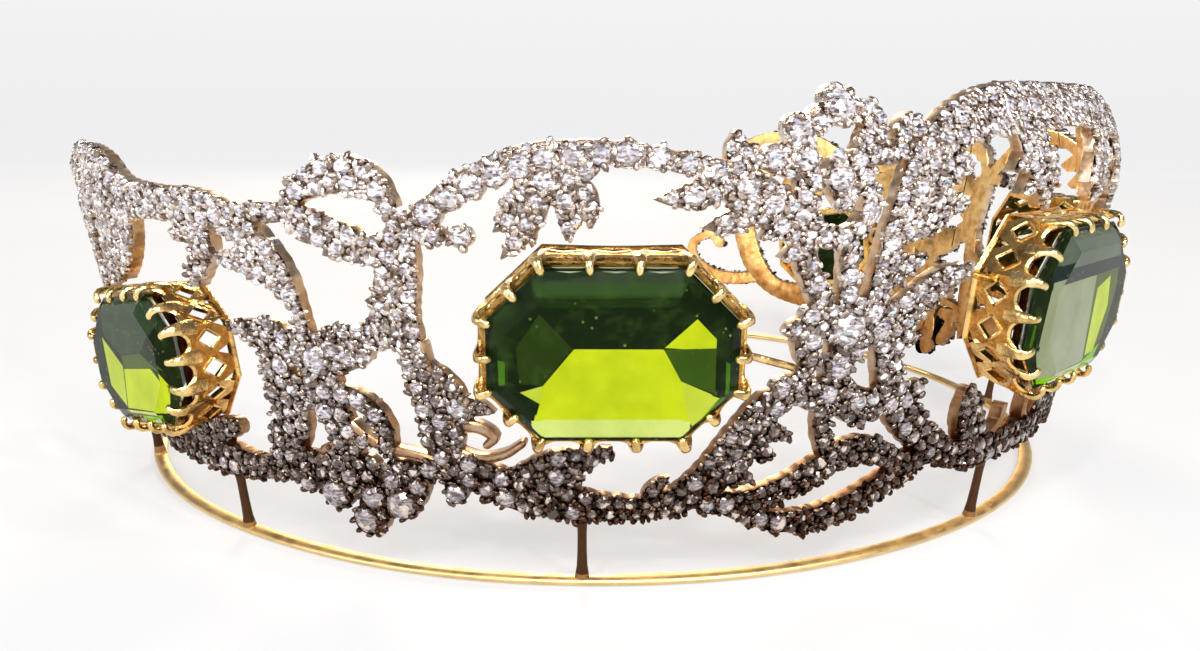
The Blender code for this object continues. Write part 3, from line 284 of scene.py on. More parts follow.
# A claw from its foot on the wall to its tip on the stone: how far in its middle lies from the
# girdle, its height, and half its width and thickness
CLAW_COURSE = (
    (-0.72, -2.8, 0.90, 0.22), (-0.84, -1.9, 0.95, 0.34), (-0.94, -1.0, 0.85, 0.38), (-1.0, -0.2, 0.70, 0.40),
    (-0.92, 0.45, 0.60, 0.40), (-0.62, 0.88, 0.50, 0.38), (-0.26, 1.05, 0.44, 0.37), (0.08, 1.05, 0.48, 0.41),
    (0.34, 0.99, 0.45, 0.38), (0.56, 0.91, 0.22, 0.20),
)
COLLET_BARS = (
    ("front", 34.9, 35.4, 31.6, 36.6),
    ("side", 9.4, 29.5, 15.0, 27.1),
)
POSTS = ((-112.0, 13.2), (-83.0, 8.4), (-47.0, 8.4), (-3.0, 9.6), (47.0, 8.4), (83.0, 8.4), (112.0, 13.2))

# The metal's section across a scroll: share of the half width, height over the sheet
SCROLL_PROFILE = (
    (-0.86, BAND_BACK), (-1.0, BAND_BACK + 0.15), (-1.0, 0.62), (-0.95, 0.9), (-0.84, 0.86),
    (-0.45, 0.98), (0.0, 1.02), (0.45, 0.98), (0.84, 0.86), (0.95, 0.9), (1.0, 0.62),
    (1.0, BAND_BACK + 0.15), (0.86, BAND_BACK),
)
PATH_STEP = 0.5
GIRDLE_OUT = 1.12
STONE_PITCH = 1.9
SMALLEST_STONE = 0.46
BEAD_RADIUS = 0.33

# Stone facets' tones run from 0, dark, to 1, bright
SILVER, GILT = 0, 1
BACK_TONE = 0.3


class Shape:
    """The points and faces that are gathered for one piece, in sheet coordinates or metres."""

    def __init__(self):
        self.points = []
        self.faces = []
        self.looks = []
        self.tones = []

    def add(self, points, faces, looks, tones):
        first = len(self.points)
        self.points.extend(points)
        self.faces.extend([tuple(first + index for index in face) for face in faces])
        self.looks.extend(looks)
        self.tones.extend(tones)


def band_radius(height, out=0.0):
    return BAND_RADIUS + out + BAND_FLARE * height - CURVE_IN * max(height - CURVE_IN_FROM, 0.0) ** 2


def on_band(angle, height, out=0.0):
    turn = math.radians(angle)
    radius = band_radius(height, out)
    return Vector((radius * math.sin(turn), -radius * math.cos(turn) + AXIS_SHIFT, height)) * MM


def sheet_to_world(points):
    """Sheet points bent onto the band's cone, in metres."""
    x, height, out = np.asarray(points, float).T
    height = np.minimum(height, BAND_TOP)
    turn = x / SHEET_RADIUS + math.radians(SIDE_STONE_ANGLE)
    radius = BAND_RADIUS + out + BAND_FLARE * height - CURVE_IN * np.maximum(height - CURVE_IN_FROM, 0.0) ** 2
    return np.stack([radius * np.sin(turn), -radius * np.cos(turn) + AXIS_SHIFT, height], axis=1) * MM


def sheet_point(angle, height):
    return Vector((math.radians(angle) * SHEET_RADIUS, height))


def make_object(name, points, faces, looks, tones, materials, mirrored=False, smooth_angle=None):
    """A mesh object from world points. Its facets' tones go to a colour attribute."""
    points = np.array(points, float).reshape(-1, 3)
    if mirrored:
        points = points * (-1.0, 1.0, 1.0)
        faces = [tuple(reversed(face)) for face in faces]
    mesh = bpy.data.meshes.new(name)
    mesh.from_pydata(points.tolist(), [], faces)
    for material in materials:
        mesh.materials.append(material)
    mesh.polygons.foreach_set("material_index", np.array(looks, np.int32))
    tone = mesh.color_attributes.new("tone", "FLOAT_COLOR", "CORNER")
    counts = np.array([len(face) for face in faces])
    shades = np.array(tones, np.float32)
    if shades.ndim == 1:
        shades = np.repeat(shades[:, None], 3, axis=1)
    colours = np.concatenate([shades, np.ones((len(shades), 1), np.float32)], axis=1)
    tone.data.foreach_set("color", np.repeat(colours, counts, axis=0).ravel())
    if smooth_angle is not None:
        mesh.shade_smooth()
        mesh.set_sharp_from_angle(angle=math.radians(smooth_angle))
    mesh.update()
    obj = bpy.data.objects.new(name, mesh)
    bpy.context.scene.collection.objects.link(obj)
    return obj


def dress(obj, slot, *nodes):
    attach(obj, "root")
    if nodes:
        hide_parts(*nodes)
    return obj


# Laying out the band

def smooth_path(rows, step=PATH_STEP):
    """Points (x, y, width) along a smooth curve through rows of them."""
    rows = [Vector(row) for row in rows]
    ends = [rows[0] * 2 - rows[1], *rows, rows[-1] * 2 - rows[-2]]
    found = [rows[0]]
    for first, start, end, last in zip(ends, ends[1:], ends[2:], ends[3:]):
        count = max(1, round((end - start).xy.length / step))
        for index in range(1, count + 1):
            t = index / count
            found.append((start * 2 + (end - first) * t
                          + (first * 2 - start * 5 + end * 4 - last) * t * t
                          + (start * 3 - first - end * 3 + last) * t ** 3) / 2)
    return found


def rounded_ends(path):
    """The path with a rounded point added at each end."""
    def cap(end, inner):
        out = (end - inner).xy.normalized()
        return [Vector((*(end.xy + out * end.z * reach), end.z * share))
                for reach, share in ((0.2, 0.82), (0.34, 0.5), (0.4, 0.12))]
    return [*reversed(cap(path[0], path[1])), *path, *cap(path[-1], path[-2])]


def leaf_path(root, tip, width):
    """A pointed leaf's path, widest a third of the way from its root and bent a little."""
    along = tip - root
    side = Vector((-along.y, along.x)) * 0.05
    shares = ((0.0, 0.3), (0.1, 0.7), (0.22, 0.92), (0.35, 1.0), (0.55, 0.9), (0.72, 0.7), (0.88, 0.36), (1.0, 0.06))
    return [Vector((*(root + along * t + side * math.sin(math.pi * t)), width * share)) for t, share in shares]


def lay_out_band():
    """The paths of all scrolls, leaves and curls on the sheet: its sections, its path and its kind."""
    paths = []
    for kind, table in (("scroll", SCROLLS), ("curl", CURLS)):
        for sections, rows in table:
            flat = [(*sheet_point(angle, height), width) for angle, height, width in rows]
            paths.append((sections, rounded_ends(smooth_path(flat)), kind))
    for section, root_angle, root_height, tip_angle, tip_height, width in LEAVES:
        path = leaf_path(sheet_point(root_angle, root_height), sheet_point(tip_angle, tip_height), width)
        paths.append(((section,), smooth_path(path), "leaf"))
    return paths


def section_of(x, y):
    """The band section that a point of the sheet's drawn half is in."""
    angle = math.degrees(x / SHEET_RADIUS)
    for name, (start, end) in SECTIONS.items():
        if start <= angle < end:
            if end > FRONT:
                return "front_arch" if y > 32.0 else "front_lower_scroll"
            return name
    return "back_arch"


def sweep(shape, path, kind, low, high):
    """The metal of one scroll, leaf or curl, between the sheet's low and high x."""
    rings, travelled = [], 0.0
    for index, point in enumerate(path):
        before, after = path[max(index - 1, 0)], path[min(index + 1, len(path) - 1)]
        along = (after - before).xy.normalized()
        side = Vector((-along.y, along.x))
        if index:
            travelled += (point - path[index - 1]).xy.length
        half = point.z / 2
        if kind == "scroll" and point.z > 1.2:
            half += 0.16 * (abs(math.sin(math.pi * travelled / STONE_PITCH)) - 0.75)
        lift = 2.2 if kind == "curl" else min(point.z / 3.0, 1.0)
        ring = []
        for share, out in SCROLL_PROFILE:
            place = point.xy + side * half * share
            height = out if out < 0.8 else 0.8 + (out - 0.8) * lift
            ring.append((min(max(place.x, low), high), place.y, height))
        rings.append(ring)
    count = len(SCROLL_PROFILE)
    points = [place for ring in rings for place in ring]
    faces, looks, tones = [], [], []
    for index in range(len(rings) - 1):
        xs = [place[0] for place in rings[index] + rings[index + 1]]
        if max(xs) <= low or min(xs) >= high:
            continue
        base = index * count
        for part in range(count):
            after = (part + 1) % count
            faces.append((base + part, base + after, base + count + after, base + count + part))
            top = 3 <= part <= 8
            looks.append(SILVER if top and kind != "curl" else GILT)
            tones.append(BACK_TONE if part > 10 or part < 1 else 0.2 if kind != "curl" and top else 0.7)
    for end in (0, len(rings) - 1):
        if low < rings[end][count // 2][0] < high:
            faces.append(tuple(range(end * count, (end + 1) * count)))
            looks.append(GILT)
            tones.append(0.6)
    shape.add(points, faces, looks, tones)


class Paving:
    """The stones and beads laid over the drawn half of the band."""

    def __init__(self, paths, draw):
        self.draw = draw
        self.stones = []
        self.centres = np.zeros((0, 2))
        self.radii = np.zeros(0)
        samples = [(point.x, point.y, point.z / 2) for _, path, kind in paths if kind != "curl" for point in path]
        self.samples = np.array(samples)

    def margin(self, places):
        """How far each place lies inside the metal's outline."""
        places = np.atleast_2d(places)
        best = np.full(len(places), -9.0)
        for start in range(0, len(self.samples), 500):
            part = self.samples[start:start + 500]
            gap = np.hypot(places[:, None, 0] - part[None, :, 0], places[:, None, 1] - part[None, :, 1])
            best = np.maximum(best, (part[None, :, 2] - gap).max(axis=1))
        return best

    def room(self, place):
        """The distance from a place to the nearest stone's edge."""
        if not len(self.radii):
            return 9.0
        return float((np.hypot(*(self.centres - place).T) - self.radii).min())

    def put(self, place, radius, kind="small"):
        self.stones.append((place[0], place[1], radius, kind))
        self.centres = np.vstack([self.centres, [place[0], place[1]]])
        self.radii = np.append(self.radii, radius)

    def put_rows(self, path):
        """Rows of stones along a scroll, as many abreast as its width takes."""
        lengths = [0.0]
        for before, after in zip(path, path[1:]):
            lengths.append(lengths[-1] + (after - before).xy.length)
        here = 0.35
        index = 1
        turn = 0
        while here < lengths[-1] - 0.3:
            while index < len(path) - 1 and lengths[index] < here:
                index += 1
            before, after = path[index - 1], path[index]
            span = max(lengths[index] - lengths[index - 1], 1e-6)
            point = before.lerp(after, (here - lengths[index - 1]) / span)
            along = (after - before).xy.normalized()
            side = Vector((-along.y, along.x))
            rows = max(1, round((point.z - 0.1) / STONE_PITCH))
            size = min((point.z - 0.1) / (1 + 0.9 * (rows - 1)), 2.3)
            if size > 2 * SMALLEST_STONE:
                for row in range(rows):
                    offset = (row - (rows - 1) / 2) * size * 0.9
                    slide = size * 0.5 if (row + turn) % 2 else 0.0
                    place = point.xy + side * offset + along * (slide + self.draw.uniform(-0.15, 0.15))
                    radius = size / 2 * self.draw.choice((0.72, 0.82, 0.9, 0.96, 1.0, 1.04))
                    inside = place.x < MIDDLE_X + 0.4
                    radius = min(radius, float(self.margin(np.array(place))[0]) + 0.02)
                    if inside and radius > SMALLEST_STONE * 0.8 and self.room(np.array(place)) > radius * 0.93:
                        self.put(place, radius)
            here += max(size, 0.9) * 1.0

    def fill(self):
        """Smaller stones in what the rows leave open."""
        low, high = self.samples[:, 0].min(), MIDDLE_X + 0.3
        xs = np.arange(low, high, 0.34)
        ys = np.arange(4.0, 60.0, 0.34)
        grid = np.stack(np.meshgrid(xs, ys), axis=-1).reshape(-1, 2)
        inside = self.margin(grid)
        keep = inside > SMALLEST_STONE * 0.8
        grid, room = grid[keep], inside[keep] + 0.04
        for centre, radius in zip(self.centres, self.radii):
            room = np.minimum(room, np.hypot(*(grid - centre).T) - radius)
        while True:
            best = int(room.argmax())
            if room[best] < SMALLEST_STONE * 0.95:
                break
            radius = min(float(room[best]) * 1.06, 0.9)
            self.put(grid[best], radius)
            room = np.minimum(room, np.hypot(*(grid - grid[best]).T) - radius)

    def beads(self):
        """Places of the bead claws, in the gaps round the stones and at the metal's edge."""
        found = np.zeros((0, 2))
        kept = []
        for x, y, radius, kind in self.stones:
            if kind == "graded":
                continue
            sides = 9 if radius > 1.2 else 7
            phase = self.draw.uniform(0.0, math.tau)
            for step in range(sides):
                turn = phase + math.tau * (step + self.draw.uniform(-0.25, 0.25)) / sides
                reach = radius + 0.12
                place = np.array((x + reach * math.cos(turn), y + reach * math.sin(turn)))
                if place[0] > MIDDLE_X + 0.2:
                    continue
                gaps = np.hypot(*(self.centres - place).T) - self.radii
                if np.sort(gaps)[1] < -0.02 if len(gaps) > 1 else False:
                    continue
                if len(found) and np.hypot(*(found - place).T).min() < 0.54:
                    continue
                if self.margin(place)[0] < 0.02:
                    continue
                found = np.vstack([found, place])
                kept.append((place[0], place[1], radius))
        return kept


def add_stone(shape, x, y, radius, girdle, draw, rich=False):
    """A round stone with a table, stars, kites and girdle facets, tipped a little at random."""
    tip = Vector((draw.uniform(-0.12, 0.12), draw.uniform(-0.12, 0.12)))
    phase = draw.uniform(0.0, math.tau)
    sides = 8

    def ring(count, share, rise, shift=0.0):
        found = []
        for index in range(count):
            turn = phase + math.tau * (index + shift) / count
            across = Vector((math.cos(turn), math.sin(turn))) * radius * share
            found.append((x + across.x, y + across.y, girdle + rise * radius + across.dot(tip)))
        return found

    # Each facet's tone is a painted reflection, bright or dark, and some small stones' crowns are painted dimmer at
    # random.
    dim = 1.0 if rich else draw.choice((1.0, 1.0, 0.85, 0.65, 0.4))
    base = ring(16 if rich else 8, 1.0, -0.25)
    rim = ring(16 if rich else 8, 1.0, 0.0)
    table = ring(sides, 0.56, 0.36, 0.5)
    faces, tones = [], []
    if rich:
        middle = ring(sides, 0.78, 0.22, 0.0)
        points = base + rim + middle + table + [(x, y, girdle + 0.36 * radius)]
        for index in range(16):
            after = (index + 1) % 16
            faces.append((index, after, 16 + after, 16 + index))
            tones.append(draw.uniform(0.1, 0.6))
        for index in range(sides):
            after = (index + 1) % sides
            corner, kite, star = 16 + 2 * index, 32 + index, 40 + index
            far = 16 + 2 * index + 1
            faces.append((corner, far, kite))
            faces.append((far, 16 + (2 * index + 2) % 16, 32 + after))
            faces.append((far, 32 + after, star, kite))
            faces.append((star, 40 + (index - 1) % sides, kite))
            faces.append((40 + (index - 1) % sides, star, 48))
            tones.extend(draw.choice((0.05, 0.3, 0.5, 0.75, 1.0)) for _ in range(5))
        faces = faces[:16] + [tuple(reversed(face)) if len(face) == 3 and 48 not in face and face[0] >= 40 else face
                              for face in faces[16:]]
    else:
        points = base + rim + table + [(x, y, girdle + 0.36 * radius)]
        for index in range(sides):
            after = (index + 1) % sides
            faces.append((index, after, 8 + after, 8 + index))
            faces.append((8 + index, 8 + after, 16 + index))
            faces.append((8 + after, 16 + after, 16 + index))
            faces.append((16 + index, 16 + after, 24))
            tones.append(draw.uniform(0.1, 0.6))
            tones.extend(dim * draw.choice((0.0, 0.25, 0.5, 0.75, 1.0)) for _ in range(3))
    shape.add(points, faces, [1 if rich and radius > 0.95 else 0] * len(faces), tones)


def add_bead(shape, x, y, girdle, size, draw, look=SILVER):
    """A small rounded bead of metal that holds the stones beside it."""
    rings = ((1.0, -0.45), (1.0, 0.12), (0.82, 0.34), (0.4, 0.46))
    radius = BEAD_RADIUS * size
    phase = draw.uniform(0.0, math.tau)
    lean = Vector((draw.uniform(-0.5, 0.5), draw.uniform(-0.5, 0.5)))
    long_side = draw.uniform(1.0, 2.1)
    points, faces = [], []
    for share, rise in rings:
        for index in range(6):
            turn = math.tau * index / 6
            across = Vector((math.cos(turn) * long_side, math.sin(turn))) * radius * share
            across.rotate(Matrix.Rotation(phase, 2))
            points.append((x + across.x + lean.x * max(rise, 0.0), y + across.y + lean.y * max(rise, 0.0),
                           girdle + rise * size))
    for level in range(len(rings) - 1):
        for index in range(6):
            after = (index + 1) % 6
            faces.append((level * 6 + index, level * 6 + after, level * 6 + 6 + after, level * 6 + 6 + index))
    faces.append(tuple(range(18, 24)))
    tone = draw.choice((0.25, 0.45, 0.6, 0.75, 0.9, 1.0))
    shape.add(points, faces, [look] * len(faces), [tone] * len(faces))


# The large stones and their collets

def octagon(inset, size=1.0):
    wide = STONE_HALF_WIDTH * size - inset
    high = STONE_HALF_HEIGHT * size - inset
    corner = max(STONE_CORNER * size - 0.586 * inset, 0.3)
    quarter = ((wide, high - corner), (wide - corner, high))
    return [Vector(point) for point in (
        quarter[0], quarter[1], (-quarter[1][0], quarter[1][1]), (-quarter[0][0], quarter[0][1]),
        (-quarter[0][0], -quarter[0][1]), (-quarter[1][0], -quarter[1][1]),
        (quarter[1][0], -quarter[1][1]), (quarter[0][0], -quarter[0][1]))]


def claw_places(inset, size):
    corners = octagon(inset, size)
    between = (1, 2, 1, 1, 1, 2, 1, 1)
    found = []
    for index, extra in enumerate(between):
        start, end = corners[index], corners[(index + 1) % 8]
        found.extend(start.lerp(end, step / (extra + 1)) for step in range(extra + 1))
    return found


def stone_frame(key):
    """The matrix that puts a large stone in its place: X along the band, Y up and Z outward."""
    angle, height, radius, lean, turn, _ = LARGE_STONES[key]
    place = Vector((0.0, -radius, height)) * MM
    upright = Matrix.Rotation(math.radians(90.0), 4, "X")
    tilt = Matrix.Rotation(math.radians(lean), 4, "X")
    roll = Matrix.Rotation(math.radians(turn), 4, "Z")
    round_axis = Matrix.Rotation(math.radians(angle), 4, "Z")
    shift = Matrix.Translation((0.0, AXIS_SHIFT * MM, 0.0))
    return shift @ round_axis @ Matrix.Translation(place) @ tilt @ upright @ roll


def inside_collet(points, key, inset):
    """Which world points lie inside a collet's outer wall, drawn in by inset."""
    size = LARGE_STONES[key][5]
    back = np.array(stone_frame(key).inverted())
    local = (np.asarray(points) @ back[:3, :3].T + back[:3, 3]) / MM
    grown = inset - COLLET_CLEARANCE - COLLET_WALL
    corners = octagon(grown, size)
    wide, high = corners[0].x, corners[1].y
    slant = corners[0].x + corners[0].y
    x, y = np.abs(local[:, 0]), np.abs(local[:, 1])
    deep = (local[:, 2] > -COLLET_DEPTH + 0.1) & (local[:, 2] < 3.5)
    return (x < wide) & (y < high) & (x + y < slant) & deep


def to_world(points, frame):
    turned = np.array(frame)
    return np.asarray(points, float) * MM @ turned[:3, :3].T + turned[:3, 3]


def add_collet_wall(shape, size):
    """The collet's pierced wall: a rail at the back, small triangles and lozenges between the
    claws, and a rim that dips between them."""
    def at(place, height):
        drawn = COLLET_BACK_INSET * max(-height, 0.0) / COLLET_DEPTH
        return (*(place - place.normalized() * drawn), height)

    def grid(inset):
        places = claw_places(inset, size)
        found = []
        for index, place in enumerate(places):
            after = places[(index + 1) % len(places)]
            dip = RIM_DIP * min((after - place).length / 4.0, 1.0)
            for column in range(COLUMNS):
                u = column / COLUMNS
                near = 2 * min(u, 1 - u)
                corner = CORNER_WINDOW * max(0.0, 1 - near / 0.4)
                lozenge = WINDOW_HEIGHT * max(0.0, 1 - (1 - near) / (2 * WINDOW_SHARE))
                rail = -COLLET_DEPTH + COLLET_RAIL
                heights = (-COLLET_DEPTH, rail, rail + corner, -WINDOW_DEPTH - lozenge, -WINDOW_DEPTH + lozenge,
                           -0.1 - dip * (1 - (1 - near) ** 2.6))
                found.append(([at(place.lerp(after, u), height) for height in heights],
                              (False, corner > 0.01, False, lozenge > 0.01, False)))
        return found

    outer, inner = grid(-COLLET_CLEARANCE - COLLET_WALL), grid(-COLLET_CLEARANCE)
    rows = len(outer[0][0])
    count = len(outer)
    points = [place for stack, _ in outer + inner for place in stack]
    far = count * rows
    faces = []
    for index in range(count):
        after = (index + 1) % count
        here, there = index * rows, after * rows
        for row in range(rows - 1):
            if outer[index][1][row] or outer[after][1][row]:
                faces.append((here + row, there + row, far + there + row, far + here + row))
                faces.append((far + here + row + 1, far + there + row + 1, there + row + 1, here + row + 1))
            else:
                faces.append((here + row, there + row, there + row + 1, here + row + 1))
                faces.append((far + here + row + 1, far + there + row + 1, far + there + row, far + here + row))
        faces.append((here + rows - 1, there + rows - 1, far + there + rows - 1, far + here + rows - 1))
        faces.append((there, here, far + here, far + there))
    shape.add(points, faces, [0] * len(faces), [0.4] * len(faces))

    rim = [(Vector(out[0][-1]) + Vector(into[0][-1])) / 2 for out, into in zip(outer, inner)]
    closed_tube(shape, rim, 0.36, 6, 0.75)
    back = [Vector(out[0][0]) + Vector((0.0, 0.0, 0.34)) for out in outer[::COLUMNS // 2]]
    closed_tube(shape, back, 0.34, 6, 0.6)
    places = claw_places(-COLLET_CLEARANCE - COLLET_WALL, size)
    for index, place in enumerate(places):
        after = places[(index + 1) % len(places)]
        frame = []
        for u, rise in ((0.5, -1.0), (0.5 + WINDOW_SHARE, 0.0), (0.5, 1.0), (0.5 - WINDOW_SHARE, 0.0)):
            frame.append(Vector(at(place.lerp(after, u), -WINDOW_DEPTH + rise * WINDOW_HEIGHT)))
        corners = [here.lerp(there, share) for here, there in zip(frame, frame[1:] + frame[:1]) for share in (0.1, 0.9)]
        closed_tube(shape, corners, 0.2, 5, 0.65)


def add_seat(shape, size):
    """The ledge inside the collet that the stone rests on."""
    rows = ((-COLLET_CLEARANCE - 0.1, -0.75), (0.45, -0.8), (0.45, -1.1), (-COLLET_CLEARANCE - 0.1, -1.4))
    rings = [[(*point, height) for point in octagon(inset, size)] for inset, height in rows]
    points = [place for ring in rings for place in ring]
    faces = []
    for level in range(len(rings) - 1):
        for index in range(8):
            after = (index + 1) % 8
            faces.append((level * 8 + index, level * 8 + after, level * 8 + 8 + after, level * 8 + 8 + index))
    shape.add(points, faces, [0] * len(faces), [0.1] * len(faces))


def ring_round(place, along, radius, sides):
    """A ring of points round a place, square to a direction."""
    helper = Vector((0.0, 0.0, 1.0)) if abs(along.z) < 0.9 else Vector((1.0, 0.0, 0.0))
    first = along.cross(helper).normalized()
    second = along.cross(first)
    turns = [math.tau * step / sides for step in range(sides)]
    return [tuple(place + (first * math.cos(turn) + second * math.sin(turn)) * radius) for turn in turns]


def ring_faces(rings, sides, closed):
    faces = []
    for ring in range(rings if closed else rings - 1):
        after_ring = (ring + 1) % rings
        for step in range(sides):
            after = (step + 1) % sides
            faces.append((ring * sides + step, ring * sides + after, after_ring * sides + after, after_ring * sides + step))
    return faces


def tube(shape, path, radii, sides, look=0, tone=0.8):
    """A round rod along a path of 3-D points."""
    points = []
    for index, point in enumerate(path):
        before, after = path[max(index - 1, 0)], path[min(index + 1, len(path) - 1)]
        points.extend(ring_round(point, (after - before).normalized(), radii[index], sides))
    faces = ring_faces(len(path), sides, False)
    faces.append(tuple(reversed(range(sides))))
    faces.append(tuple(range((len(path) - 1) * sides, len(path) * sides)))
    shape.add(points, faces, [look] * len(faces), [tone] * len(faces))


def closed_tube(shape, path, radius, sides, tone):
    """A round rod along a closed path."""
    points = []
    for index, point in enumerate(path):
        along = (path[(index + 1) % len(path)] - path[index - 1]).normalized()
        points.extend(ring_round(point, along, radius, sides))
    faces = ring_faces(len(path), sides, True)
    shape.add(points, faces, [0] * len(faces), [tone] * len(faces))


def add_claws(shape, size, draw):
    """Eighteen claws, broad where they rise from the wall, that end in a small round tip."""
    sides = 10
    rows = [claw_places(inset, size) for inset, _, _, _ in CLAW_COURSE]
    for index in range(len(rows[0])):
        out = (rows[0][index] - rows[-1][index]).normalized()
        along = Vector((-out.y, out.x, 0.0))
        reach = draw.uniform(0.93, 1.05)
        broad = draw.uniform(0.92, 1.08)
        course = [Vector((*row[index], height * (reach if height > 0 else 1.0)))
                  for row, (_, height, _, _) in zip(rows, CLAW_COURSE)]
        points = []
        for step, (_, _, width, thickness) in enumerate(CLAW_COURSE):
            before, after = course[max(step - 1, 0)], course[min(step + 1, len(course) - 1)]
            across = along.cross((after - before).normalized())
            for side in range(sides):
                turn = math.tau * side / sides
                points.append(tuple(course[step] + along * math.cos(turn) * width * broad
                                    + across * math.sin(turn) * thickness))
        faces = ring_faces(len(course), sides, False)
        faces.append(tuple(range((len(course) - 1) * sides, len(course) * sides)))
        shape.add(points, faces, [0] * len(faces), [0.85] * len(faces))


def stone_shell(size):
    """A step-cut stone: rings of eight corners from the table to the culet, with flat facets."""
    steps = ((1.9, 2.3), (1.12, 1.0), (0.15, 0.0), (-0.15, 0.0), (-2.4, 2.6), (-4.4, 5.4), (-5.8, 7.8))
    rings = [[(*point, height * size) for point in octagon(inset * size, size)] for height, inset in steps]
    points = [place for ring in rings for place in ring]
    faces = [tuple(range(8))]
    for level in range(len(rings) - 1):
        for index in range(8):
            after = (index + 1) % 8
            base = level * 8
            faces.append((base + index, base + 8 + index, base + 8 + after, base + after))
    faces.append(tuple(reversed(range(len(points) - 8, len(points)))))
    return points, faces


# What shows inside each large stone, all painted light: the dark facets stand in for shade, the bright ones glow,
# # and the grey, white and hazy ones are painted reflections. Each row: colour, then the facet's corners in mm from the
# middle
GREENS = {
    "deep": (0.003, 0.007, 0.002), "dark": (0.008, 0.022, 0.003), "moss": (0.020, 0.056, 0.008),
    "shade": (0.044, 0.092, 0.008), "dim": (0.020, 0.040, 0.005), "dusk": (0.018, 0.030, 0.019), "leaf": (0.06, 0.17, 0.008), "lime": (0.66, 0.76, 0.012),
    "sun": (0.62, 0.72, 0.06), "pale": (0.74, 0.84, 0.26), "mist": (0.36, 0.38, 0.30),
    "slate": (0.13, 0.15, 0.15), "navy": (0.012, 0.020, 0.032), "olive": (0.09, 0.12, 0.02),
    "hazy_reflection": (0.035, 0.055, 0.036), "gleam": (0.24, 0.56, 0.004), "white": (0.55, 0.54, 0.46),
}
FACETS = {
    "side": (
        ("dusk", ((-7.6, 9.4), (7.4, 9.4), (8.4, 7.8), (-8.6, 7.8))),
        ("white", ((-6.4, 9.5), (-2.9, 9.5), (-3.3, 8.95), (-4.6, 8.75), (-6.0, 8.95))),
        ("white", ((-1.6, 9.5), (1.9, 9.5), (1.5, 8.95), (0.2, 8.75), (-1.2, 8.95))),
        ("white", ((3.2, 9.5), (6.6, 9.5), (6.2, 8.95), (4.9, 8.75), (3.6, 8.95))),
        ("moss", ((-8.4, 7.8), (7.5, 7.8), (6.9, 6.4), (-7.9, 6.2))),
        ("dark", ((-7.9, 6.2), (6.9, 6.4), (6.3, 5.4), (-7.3, 5.2))),
        ("lime", ((-7.4, -3.4), (-4.1, 0.75), (5.3, 0.75), (7.25, -2.85), (8.15, -7.25), (-8.2, -7.25), (-7.7, -5.3))),
        ("pale", ((-8.5, -7.2), (8.3, -7.2), (7.9, -9.3), (-8.0, -9.3))),
        ("sun", ((7.2, -2.8), (11.7, -4.8), (8.4, -7.8), (8.1, -7.2))),
        ("sun", ((-9.8, -4.1), (-7.4, -3.35), (-7.7, -5.4))),
        ("lime", ((5.4, 0.95), (8.7, 4.1), (10.8, 1.9), (10.8, 0.9), (7.4, 0.8))),
        ("shade", ((5.4, 0.75), (10.8, 0.85), (10.9, -4.2), (7.2, -2.8))),
        ("dim", ((-4.3, 0.85), (-7.7, 4.6), (-10.2, 0.9), (-9.8, -3.1), (-7.4, -3.3))),
        ("leaf", ((-11.9, -0.5), (-11.1, -0.7), (-11.1, -3.2), (-11.8, -3.4))),
        ("leaf", ((11.7, -0.6), (12.2, -0.9), (12.2, -3.9), (11.8, -4.2))),
        ("leaf", ((11.4, -4.4), (11.9, -4.5), (9.4, -7.4), (8.8, -7.6))),
    ),
    "front": (
        ("slate", ((-4.6, 8.6), (8.8, 8.6), (10.4, 5.2), (-7.4, 5.0))),
        ("navy", ((-7.6, 5.0), (10.5, 5.2), (10.9, 3.6), (-8.6, 3.2))),
        ("mist", ((-8.2, 3.2), (3.4, 3.4), (4.4, -7.8), (-6.6, -8.2), (-8.8, -4.6))),
        ("olive", ((3.2, 3.4), (10.6, 3.6), (11.2, 0.4), (9.8, -5.6), (4.3, -7.8))),
        ("sun", ((4.4, 1.6), (8.2, 2.8), (9.4, -1.2), (7.4, -7.0), (4.8, -7.2))),
        ("gleam", ((-7.0, -8.2), (4.2, -7.9), (9.4, -6.2), (7.2, -9.1), (-6.4, -9.1))),
        ("leaf", ((-10.6, -1.2), (-10.0, -1.4), (-10.2, -4.4), (-10.9, -3.8))),
    ),
    "back": (
        ("hazy_reflection", ((-8.6, 8.4), (7.6, 8.4), (9.2, 5.2), (3.0, 1.2), (-4.2, 0.8), (-9.0, 4.0))),
        ("olive", ((-4.0, 0.7), (3.0, 1.1), (8.4, -1.6), (5.8, -1.0), (-3.8, -1.2))),
        ("lime", ((-4.0, -1.3), (5.6, -1.1), (8.9, -3.6), (7.0, -7.6), (-5.6, -7.4))),
        ("sun", ((-9.9, 3.6), (-4.2, -0.9), (-5.8, -7.2), (-10.4, -4.0))),
        ("gleam", ((-1.6, -7.8), (4.8, -7.9), (3.8, -9.2), (-1.0, -9.2))),
    ),
}


def stone_painted_glow(key):
    """The dark bowl inside a large stone, and the glowing facets of painted light and painted reflections laid over its
    bottom.
    """
    size = LARGE_STONES[key][5]
    shape = Shape()
    rings = [[(*point, height * size) for point in octagon(inset * size, size)]
             for inset, height in ((0.12, -0.03), (0.62, -0.55))]
    faces = [(index, (index + 1) % 8, 8 + (index + 1) % 8, 8 + index) for index in range(8)]
    faces.append(tuple(range(8, 16)))
    shape.add(rings[0] + rings[1], faces, [0] * len(faces), [GREENS["deep"]] * len(faces))
    for level, (colour, corners) in enumerate(FACETS[key], start=1):
        points = [(x * size, y * size, (-0.55 + 0.01 * level) * size) for x, y in corners]
        shape.add(points, [tuple(range(len(points)))], [0], [GREENS[colour]])
    return shape


